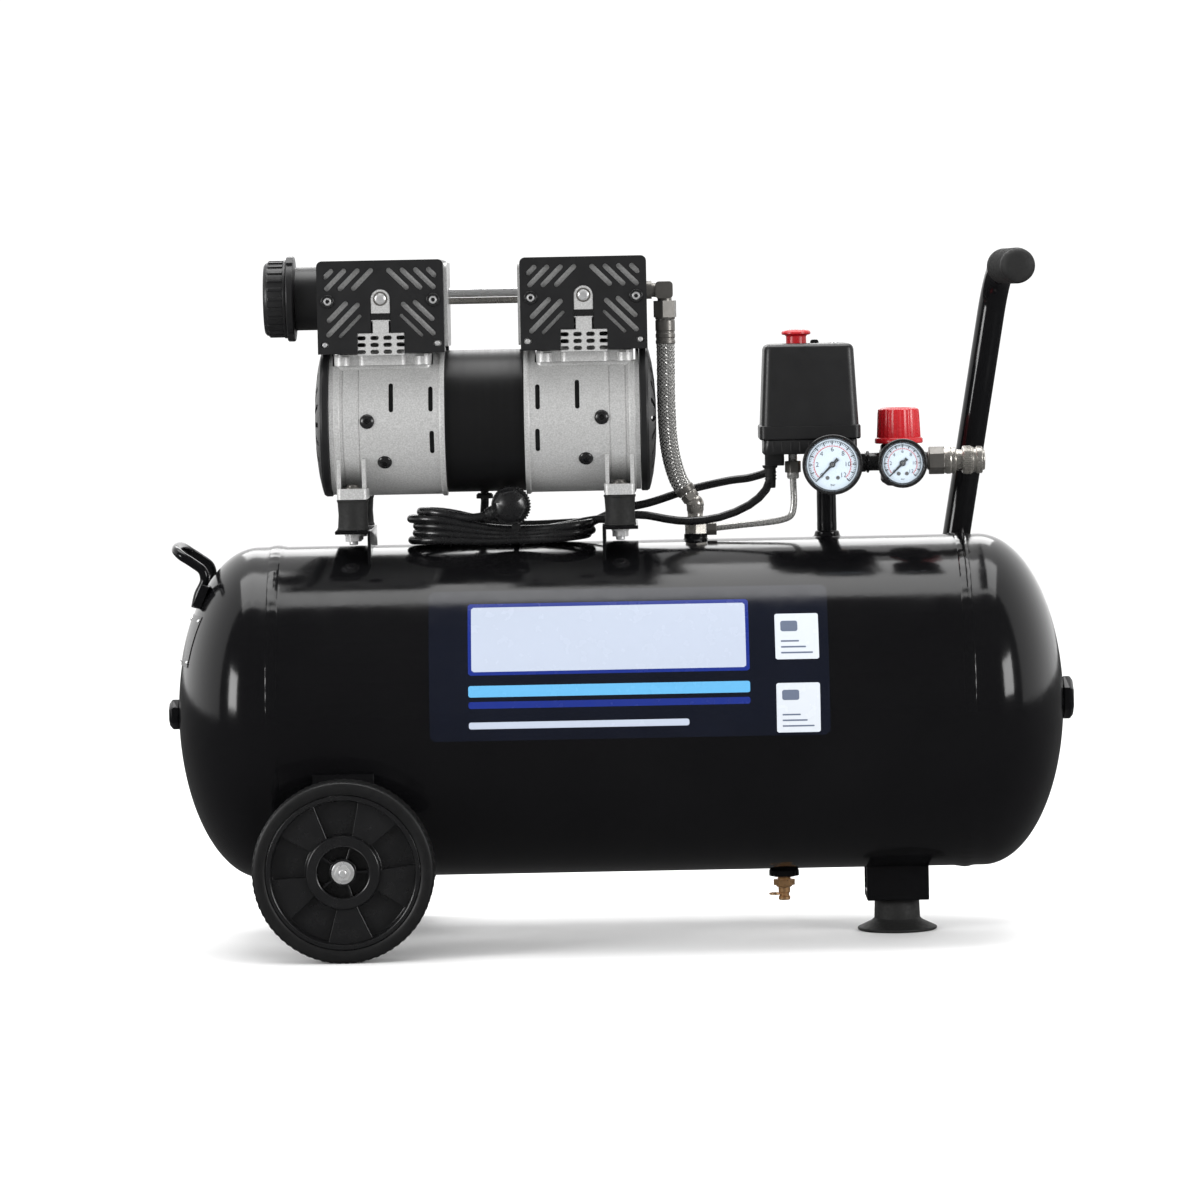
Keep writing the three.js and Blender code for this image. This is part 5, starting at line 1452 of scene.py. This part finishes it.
def check_valve():
    tilt = -math.degrees(INLET_TILT)
    inlet = spun(lathe("z", [(0, 0), (6.6, 0), (6.6, 4), (7, 4.6), (7, 12), (0, 12)], 40), "Y", tilt)
    inlet_nut = spun(prism("z", hexagon(14, 0, 0, 10), 5, 11), "Y", tilt)
    shapes = [
        ball(8, (0, 0, VALVE_HEAD_Z), 16), moved(inlet, z=VALVE_HEAD_Z), moved(inlet_nut, z=VALVE_HEAD_Z),
        lathe("z", [(0, 368), (7.6, 368), (7.6, 378), (7, 379), (7, 383), (7.6, 384), (7.6, 391), (0, 391)],
              40),
        prism("z", hexagon(19, 0, 0, 30), 363, 372),
    ]
    piece("valve_body", moved(merged(*shapes), CHECK_VALVE_X), "nickel_plate", replaces="check_valve",
          bevel=0.6)
    bung = lathe("z", [(0, 350), (12.6, 350), (12.6, 356.6), (10.5, 359), (10.5, 363), (0, 363)], 48,
                 (CHECK_VALVE_X, 0, 0))
    piece("valve_bung", bung, "black_paint", bevel=0.6)


def unloader_line():
    knots = [(CHECK_VALVE_X + 11, 0, 367.4), (CHECK_VALVE_X + 40, 0, 370), (150, 0, 374.4), (157, 0, 378),
             (UNLOADER_X, 0, 386), (UNLOADER_X, 0, 414)]
    line = spline(knots, 10)
    nut = prism("z", hexagon(13, UNLOADER_X, 0, 10), 416.6, 427)
    sleeve = lathe("z", [(0, 411), (4.6, 411), (5.4, 412.4), (5.4, 417), (0, 417)], 36, (UNLOADER_X, 0, 0))
    stub = bar("z", 4, 426, 434, (UNLOADER_X, 0, 0))
    low_nut = prism("x", hexagon(11, 0, 367.4, 12), CHECK_VALVE_X + 9.8, CHECK_VALVE_X + 19)
    piece("unloader_pipe", merged(rod(line, 3, 24), sleeve, stub), "steel_braid", replaces="unloader_tube",
          bevel=0.3)
    piece("unloader_nuts", merged(nut, low_nut), "dull_nickel", bevel=0.6)


# ---------------------------------------------------------------- pressure switch, regulator and manifold

def riser_and_manifold():
    pipe = lathe("z", [(0, TANK_TOP_Z - 9), (8.8, TANK_TOP_Z - 9), (8.8, 411), (0, 411)], 56)
    base = [(0, -4), (14.4, -4), (13.8, -0.2), (12, 0.8), (11.4, 2.4), (10.9, 4.6), (9.8, 5.6), (0, 5.6)]
    socket = lathe("z", [(radius, TANK_TOP_Z + rise) for radius, rise in base], 56)
    threads = [lathe("z", [(8.6, z), (9.3, z + 0.6), (8.6, z + 1.2)], 48)
               for z in (TANK_TOP_Z + 6.4 + 1.4 * i for i in range(5))]
    piece("riser", moved(merged(pipe, socket, *threads), RISER_X), "black_paint", replaces="riser_pipe",
          bevel=0.7)
    end = KNOB.mid.x - 17.3
    z = MANIFOLD_Z
    cross = prism("y", rounded(RISER_X - 13, RISER_X + 13, z - 13, z + 8.7, 4), -13, 13)
    arm = lathe("x", [(0, RISER_X + 10), (8.2, RISER_X + 10), (8.2, end), (0, end)], 40, (0, 0, z))
    nut = prism("x", hexagon(17, 0, z, 10), RISER_X + 27, RISER_X + 36)
    ring = lathe("x", [(8, RISER_X + 36.4), (10, RISER_X + 36.8), (10, RISER_X + 39), (8, RISER_X + 39.4)],
                 40, (0, 0, z))
    piece("manifold_cross", merged(cross, arm, nut, ring), "gauge_black", replaces="manifold", bevel=0.9)
    valve = merged(
        bar("y", 6.5, 12, 20, (RISER_X, 0, z)), prism("y", hexagon(17, RISER_X, z, 10), 18, 30),
        lathe("y", [(2.6, 29), (7, 29), (7, 36), (6.2, 37), (6.2, 39), (7, 40), (7, 43), (6, 44), (2.6, 44)],
              40,
              (RISER_X, 0, z)),
    )
    piece("safety_valve_body", valve, "brass", bevel=0.5)
    loop = [Vector((RISER_X, 61 + 9 * math.cos(TURN * i / 60), z + 9 * math.sin(TURN * i / 60)))
            for i in range(60)]
    stem = bar("y", 2, 26, 53, (RISER_X, 0, z), 24)
    piece("safety_valve_ring", merged(bead(loop, 1), stem), "zinc_steel", "safety_ring", "safety_ring", 0.2)


COVER_TAPER = 0.0013
COLLAR_RISE = 0.3


def pressure_switch():
    base = Box("switch_base")
    x = COVER.mid.x
    rim = COVER.lo.z
    dress("switch_base", "black_plastic", 1)
    ribs = [block(x - 34 + 8 * i, x - 31.6 + 8 * i, base.lo.y - 0.2, base.lo.y + 2, rim - 11, rim - 1.4)
            for i in range(9)]
    piece("switch_base_ribs", merged(*ribs), "black_plastic", bevel=0.5)
    top = COVER.hi.z
    shoulder = top - 5
    steps = 6
    layers = [(rim + 12 + (shoulder - rim - 12) * i / steps, 0) for i in range(steps + 1)]
    layers += [(shoulder + 2.6, 0.9), (shoulder + 4.4, 3.2), (top, 7)]
    rings = []
    for z, inset in layers:
        wider = 1 + COVER_TAPER * (top - z)
        deeper = 1 + COVER_TAPER * (top - z) / 2
        outline = rounded(-40 + inset, 40 - inset, -36 + inset, 36 - inset, max(7 - inset, 2), 5)
        rings.append([(x + u * wider, v * deeper, z) for u, v in outline])
    skirt = prism("z", rounded(x - COVER.size.x / 2, x + COVER.size.x / 2, -38, 38, 6), rim, rim + 13)
    hole = bar("z", 10.4, top - 8, top + 6, (BUTTON.mid.x, 0, 0))
    lower = block(x - 80, x + 80, -60, 60, rim - 9, rim)
    piece("switch_hood", skin(rings), "black_plastic", replaces="switch_cover", bevel=0.9, angle=28,
          cuts=[hole, lower])
    piece("switch_skirt", skirt, "black_plastic", bevel=1.6)


def switch_fittings():
    """The button with its collar, and the unloader's lever and screw, on top of the cover."""
    x, top = COVER.mid.x, COVER.hi.z
    collar = lathe("z", [(10, top - 3), (13.4, top - 3), (13.4, top + COLLAR_RISE - 0.6),
                         (12.8, top + COLLAR_RISE),
                         (10.3, top + COLLAR_RISE), (10, top + COLLAR_RISE - 0.3)], 56, (BUTTON.mid.x, 0, 0))
    piece("button_collar", collar, "black_plastic", bevel=0.3)
    lever = prism("y", rounded(x + 3, x + 10.5, top - 4, top + 3.2, 2), 10, 18)
    screw = lathe("z", [(0, top - 2), (3.6, top - 2), (3.6, top + 0.7), (2.9, top + 1.2), (0, top + 1.2)], 36,
                  (x + 24, 0, 0))
    piece("switch_lever", lever, "black_plastic", bevel=0.6)
    piece("switch_screw", screw, "zinc_steel", bevel=0.2,
          cuts=[block(x + 20, x + 28, -0.5, 0.5, top + 0.3, top + 3)])
    button = lathe("z", [
        (0, BUTTON.lo.z), (9.2, BUTTON.lo.z), (9.2, 539.6), (10, 540.6), (12.2, 541), (13.2, 541.8),
        (13.2, 543.2),
        (12.2, 544.4), (10.2, 545.3), (6, 545.8), (0, 545.8),
    ], 64, (BUTTON.mid.x, 0, 0))
    piece("on_off_button", button, "red_plastic", "switch_button", "switch_button", 0.3)


def motor_lead():
    x = PUMP_X - 3
    knots = [
        (139, 7, 423.1), (139, 7, 419), (122, 11, 412.6), (102, 13, 410), (66, 16, 402.4), (30, 10, 391.6),
        (4, 10, 386), (-20, 20, 376), (-44, 29, 364), (-80, 31, 359.6), (-106, 29, 362.6), (x, 21, 380),
        (x, 16, 396), (x, 16, 405.6),
    ]
    cable("motor_lead", spline(knots, 8), CABLE_RADIUS, replaces=("motor_cable",))
    relief = lathe("z", [(3.9, 0), (7, 0), (6.6, -2), (5.2, -3), (4.9, -8), (3.9, -8)], 36,
                   (139, 7, GLAND.z + 0.2))
    grommet = lathe("z", [(3.9, 398), (7.6, 398), (7.6, 401.5), (6, 403), (3.9, 403)], 36, (x, 16, 0))
    piece("motor_lead_relief", merged(relief, grommet), "black_rubber", bevel=0.3)


def regulator():
    x = KNOB.mid.x
    body = lathe("z", [
        (0, 403), (10.6, 403), (12, 404), (15.6, 406.4), (17, 408.4), (17, 438.6), (16, 440.6), (14.4, 440.6),
        (14.4, 464), (0, 464),
    ], 64, (x, 0, 0))
    flats = [prism("x", hexagon(20, 0, MANIFOLD_Z, 10), x + s * 15.6 - 2.4, x + s * 15.6 + 2.4)
             for s in (-1, 1)]
    arm = bar("x", 8.2, x + 15, x + 25, (0, 0, MANIFOLD_Z))
    piece("regulator_case", merged(body, *flats, arm), "gauge_black", replaces="regulator_body", bevel=0.7)


def regulator_knob():
    """A ribbed knob that narrows upwards, over a flange, with a dished top."""
    x = KNOB.mid.x
    ribs = 26
    levels = [(446, 19.8), (446.6, 19.9), (468, 18.9), (471.6, 18.4), (472.6, 17.2), (473, 15.6)]
    rings = []
    count = ribs * 4
    for z, radius in levels:
        ring = []
        for i in range(count):
            depth = (0.5, 0, 0, 0.5)[i % 4] if z < 472 else 0.2
            angle = TURN * i / count
            ring.append((x + (radius - depth) * math.cos(angle), (radius - depth) * math.sin(angle), z))
        rings.append(ring)
    flange = lathe("z", [(15.4, 441.2), (21, 441.2), (21.8, 442), (21.8, 445), (21, 446), (19.4, 447),
                         (15.4, 447)], 96,
                   (x, 0, 0))
    dish = lathe("z", [(0, 472.6), (13, 472.6), (14.4, 473.5), (15.6, 473), (15.6, 471.4), (0, 471.4)], 64,
                 (x, 0, 0))
    piece("regulator_grip", merged(skin(rings), flange, dish), "red_plastic", "regulator_knob",
          "regulator_knob", 0.25, angle=40)


# ---------------------------------------------------------------- gauges

DIAL_SWEEP = 270
ZERO_ANGLE = 225
GAUGE_BARS = 12


def digits(text, height):
    """Figures for a dial as a thin solid shape, centred on the origin in the plane of the dial."""
    data = bpy.data.curves.new("figures", "FONT")
    data.body = text
    data.size = height
    data.align_x = "CENTER"
    data.align_y = "CENTER"
    data.extrude = 0.03
    data.resolution_u = 3
    obj = bpy.data.objects.new("figures", data)
    bpy.context.scene.collection.objects.link(obj)
    mesh = obj.evaluated_get(bpy.context.evaluated_depsgraph_get()).to_mesh()
    shape = ([v.co.copy() for v in mesh.vertices], [tuple(f.vertices) for f in mesh.polygons])
    bpy.data.objects.remove(obj)
    return placed(shape, Matrix.Rotation(math.pi / 2, 4, "X"))


def ticks(count, inner, outer, width, y):
    marks = []
    for i in range(count + 1):
        angle = ZERO_ANGLE - DIAL_SWEEP * i / count
        mark = block(inner, outer, y, y + 0.08, -width / 2, width / 2)
        marks.append(spun(mark, "Y", -angle))
    return merged(*marks)


def band(inner, outer, y):
    outline = arc(0, 0, outer, ZERO_ANGLE, ZERO_ANGLE - DIAL_SWEEP, 60)
    outline += arc(0, 0, inner, ZERO_ANGLE - DIAL_SWEEP, ZERO_ANGLE, 60)
    return prism("y", outline, y, y + 0.08)


def gauge(node, steps, unit):
    box = Box(node)
    radius = box.size.x / 2
    x, z = box.mid.x, box.mid.z
    face = box.lo.y + 5
    rear = box.hi.y
    wall = radius - 1.6
    at_gauge = lambda shape: moved(shape, x, 0, z)
    case = lathe("y", [
        (0, face), (wall - 2.4, face), (wall - 1.6, face - 3.6), (wall - 1, face - 4.6),
        (radius - 0.7, face - 5),
        (radius, face - 4.2), (radius, face - 0.6), (wall, face + 0.8), (wall, face + 20),
        (wall - 3, face + 23),
        (6.2, face + 23), (6.2, rear), (0, rear),
    ], 96)
    stem = prism("y", hexagon(11, 0, 0, 10), face + 24, face + 31)
    piece(f"{node}_case", at_gauge(merged(case, stem)), "gauge_black", replaces=node, bevel=0.3)
    gauge_dial(node, face, wall - 2.6, steps, unit, at_gauge)
    dress(f"{node}_needle", "ink_black", 0)


def gauge_dial(node, face, paper, steps, unit, at_gauge):
    """The printed dial, its screws, the needle's pin and the glass."""
    dial = lathe("y", [(0, face - 0.25), (paper, face - 0.25), (paper, face + 0.1), (0, face + 0.1)], 72)
    piece(f"{node}_dial", at_gauge(dial), "dial_face", bevel=0)
    front = face - 0.36
    outer = paper * 0.93
    marks = merged(ticks(steps * 5, outer * 0.91, outer, 0.5, front),
                   ticks(steps, outer * 0.85, outer, 1, front),
                   band(outer - 0.2, outer + 0.2, front))
    figures = []
    for i in range(0, steps + 1, 2):
        angle = math.radians(ZERO_ANGLE - DIAL_SWEEP * i / steps)
        reach = outer * 0.64
        number = digits(str(i), outer * 0.28)
        figures.append(moved(number, reach * math.cos(angle), front + 0.04, reach * math.sin(angle)))
    figures.append(moved(digits(unit, outer * 0.15), 0, front + 0.04, -outer * 0.86))
    piece(f"{node}_scale", at_gauge(merged(marks, *figures)), "ink_black", bevel=0)
    red = merged(ticks(steps * 3, outer * 0.78, outer * 0.84, 0.4, front),
                 band(outer * 0.765, outer * 0.79, front))
    piece(f"{node}_inner_scale", at_gauge(red), "ink_red", bevel=0)
    screws = [lathe("y", [(0, -0.5), (1.5, -0.5), (1.8, 0), (0, 0)], 24,
                    (s * outer * 0.22, face - 0.25, -outer * 0.56))
              for s in (-1, 1)]
    piece(f"{node}_dial_screws", at_gauge(merged(*screws)), "dull_nickel", bevel=0)
    glass = lathe("y", [(0, face - 4.3), (paper + 0.2, face - 4.1), (paper + 0.2, face - 3.5),
                        (0, face - 3.7)], 72)
    piece(f"{node}_glass", at_gauge(glass), "gauge_glass", bevel=0)
    pin = lathe("y", [(0, face - 2.2), (0.9, face - 2.2), (1.2, face - 1.6), (1.2, face), (0, face)], 24)
    piece(f"{node}_pin", at_gauge(pin), "nickel_plate", bevel=0)


# ---------------------------------------------------------------- hose coupler

def coupler():
    body, sleeve = Box("coupler_body"), Box("coupler_sleeve")
    z = MANIFOLD_Z
    start = body.lo.x
    base = body.lo.x + 17.9
    hexagonal = prism("x", hexagon(22, 0, z, 30), start + 1.4, start + 15.6)
    thread = bar("x", 8.4, start, start + 3, (0, 0, z))
    barrel = lathe("x", [
        (6, base + 6), (0, base + 6), (0, base - 4), (10.5, base - 4), (12.4, base), (12.4, base + 3),
        (11.8, base + 3.6), (11.8, base + 4.6), (12.4, base + 5.2), (12.4, base + 7.4), (9.4, base + 8),
        (9.4, body.hi.x - 0.8),
        (8.8, body.hi.x), (6.6, body.hi.x), (6, body.hi.x - 0.8),
    ], 64, (0, 0, z))
    piece("coupler_hexagon", merged(hexagonal, thread), "dull_nickel", bevel=0.9)
    piece("coupler_barrel", barrel, "nickel_plate", replaces="coupler_body", bevel=0.5)
    low, high = sleeve.lo.x, sleeve.hi.x
    count = 44
    slide = lathe("x", [
        (10, low), (11.8, low), (12.3, low + 0.6), (12.3, low + 9), (11.2, low + 10), (11.2, low + 12),
        (12.3, low + 13), (12.3, high - 0.8), (11.6, high), (10, high),
    ], 88, (0, 0, z))
    knurl = [moved(spun(prism("y", [(low + 1.2, 12), (low + 8.4, 12), (low + 7.8, 12.8), (low + 1.8, 12.8)],
                              -0.5, 0.5),
                        "X", 360 * i / count), z=z) for i in range(count)]
    piece("coupler_slide", merged(slide, *knurl), "nickel_plate", "coupler_sleeve", "coupler_sleeve", 0.2)


# ---------------------------------------------------------------- surroundings

def flag():
    """Dark sheets in front and below, there only for reflections, so that gloss black stays black."""
    radius = 9
    steps, levels = 24, 12
    points, faces = [], []
    for i in range(steps + 1):
        heading = math.radians(-90 - 84 + 168 * i / steps)
        for k in range(levels + 1):
            elevation = math.radians(-88 + 168 * k / levels)
            points.append((radius * math.cos(heading) * math.cos(elevation),
                           radius * math.sin(heading) * math.cos(elevation), radius * math.sin(elevation)))
    at = lambda i, k: i * (levels + 1) + k
    for i in range(steps):
        for k in range(levels):
            faces.append((at(i, k), at(i + 1, k), at(i + 1, k + 1), at(i, k + 1)))
    count = len(points)
    points += [(-radius, -radius, -0.02), (radius, -radius, -0.02), (radius, radius, -0.02),
               (-radius, radius, -0.02)]
    faces.append((count, count + 1, count + 2, count + 3))
    mesh = bpy.data.meshes.new("flag")
    mesh.from_pydata(points, [], faces)
    obj = bpy.data.objects.new("flag", mesh)
    bpy.context.scene.collection.objects.link(obj)
    for kind in ("camera", "diffuse", "shadow", "transmission", "volume_scatter"):
        setattr(obj, f"visible_{kind}", False)
    look = Look("flag_cloth")
    look.set(Specular_IOR_Level=0.0, Roughness=1.0)
    look.colours(look.noise(1), grey(0.07), grey(0.09))
    mesh.materials.append(look.material)
    return obj


def surroundings():
    floor = bpy.data.meshes.new("floor")
    reach = 14
    corners = [(-reach, -reach, 0), (reach, -reach, 0), (reach, reach, 0), (-reach, reach, 0)]
    floor.from_pydata(corners, [], [(0, 1, 2, 3)])
    floor_object = bpy.data.objects.new("floor", floor)
    bpy.context.scene.collection.objects.link(floor_object)
    look = Look("floor_paper")
    look.colours(look.noise(2), grey(0.92), grey(0.95))
    look.roughness(look.noise(30), 0.6, 0.75)
    floor.materials.append(look.material)
    floor_object.visible_glossy = False
    flag()
    world = bpy.data.worlds.new("studio")
    world.use_nodes = True
    background = world.node_tree.nodes["Background"]
    background.inputs["Color"].default_value = (1, 1, 1, 1)
    background.inputs["Strength"].default_value = 1.1
    bpy.context.scene.world = world
    bpy.context.scene.view_settings.view_transform = "Standard"


def softbox(name, place, target, width, height, power):
    data = bpy.data.lights.new(name, "AREA")
    data.shape = "RECTANGLE"
    data.size = width
    data.size_y = height
    data.energy = power
    light = bpy.data.objects.new(name, data)
    light.location = place
    light.rotation_euler = (Vector(target) - Vector(place)).to_track_quat("-Z", "Y").to_euler()
    bpy.context.scene.collection.objects.link(light)


def studio():
    middle = (0, 0, 0.3)
    softbox("overhead", (0, 0.3, 2.4), middle, 2.6, 1.4, 46)
    softbox("left_box", (-2.5, -1.7, 0.98), middle, 0.95, 1.1, 48)
    softbox("right_box", (2.5, -1.7, 0.98), middle, 1.1, 1.1, 46)
    softbox("rear_fill", (0, 3.4, 2.2), middle, 2.4, 1.2, 30)


# ---------------------------------------------------------------- the whole compressor

receiver()
front_decal()
rating_plate()
carry_bail()
foot()
wheels()
push_handle()
handle_grip()
drain_valve()
motor_housings()
stator_and_rotor()
end_guards()
mounts()
cylinders_and_hoods()
intake()
air_tubes()
discharge_elbow()
discharge_hose()
check_valve()
unloader_line()
riser_and_manifold()
pressure_switch()
switch_fittings()
motor_lead()
regulator()
regulator_knob()
gauge("gauge_large", GAUGE_BARS, "bar")
gauge("gauge_small", GAUGE_BARS, "bar")
coupler()
surroundings()
studio()
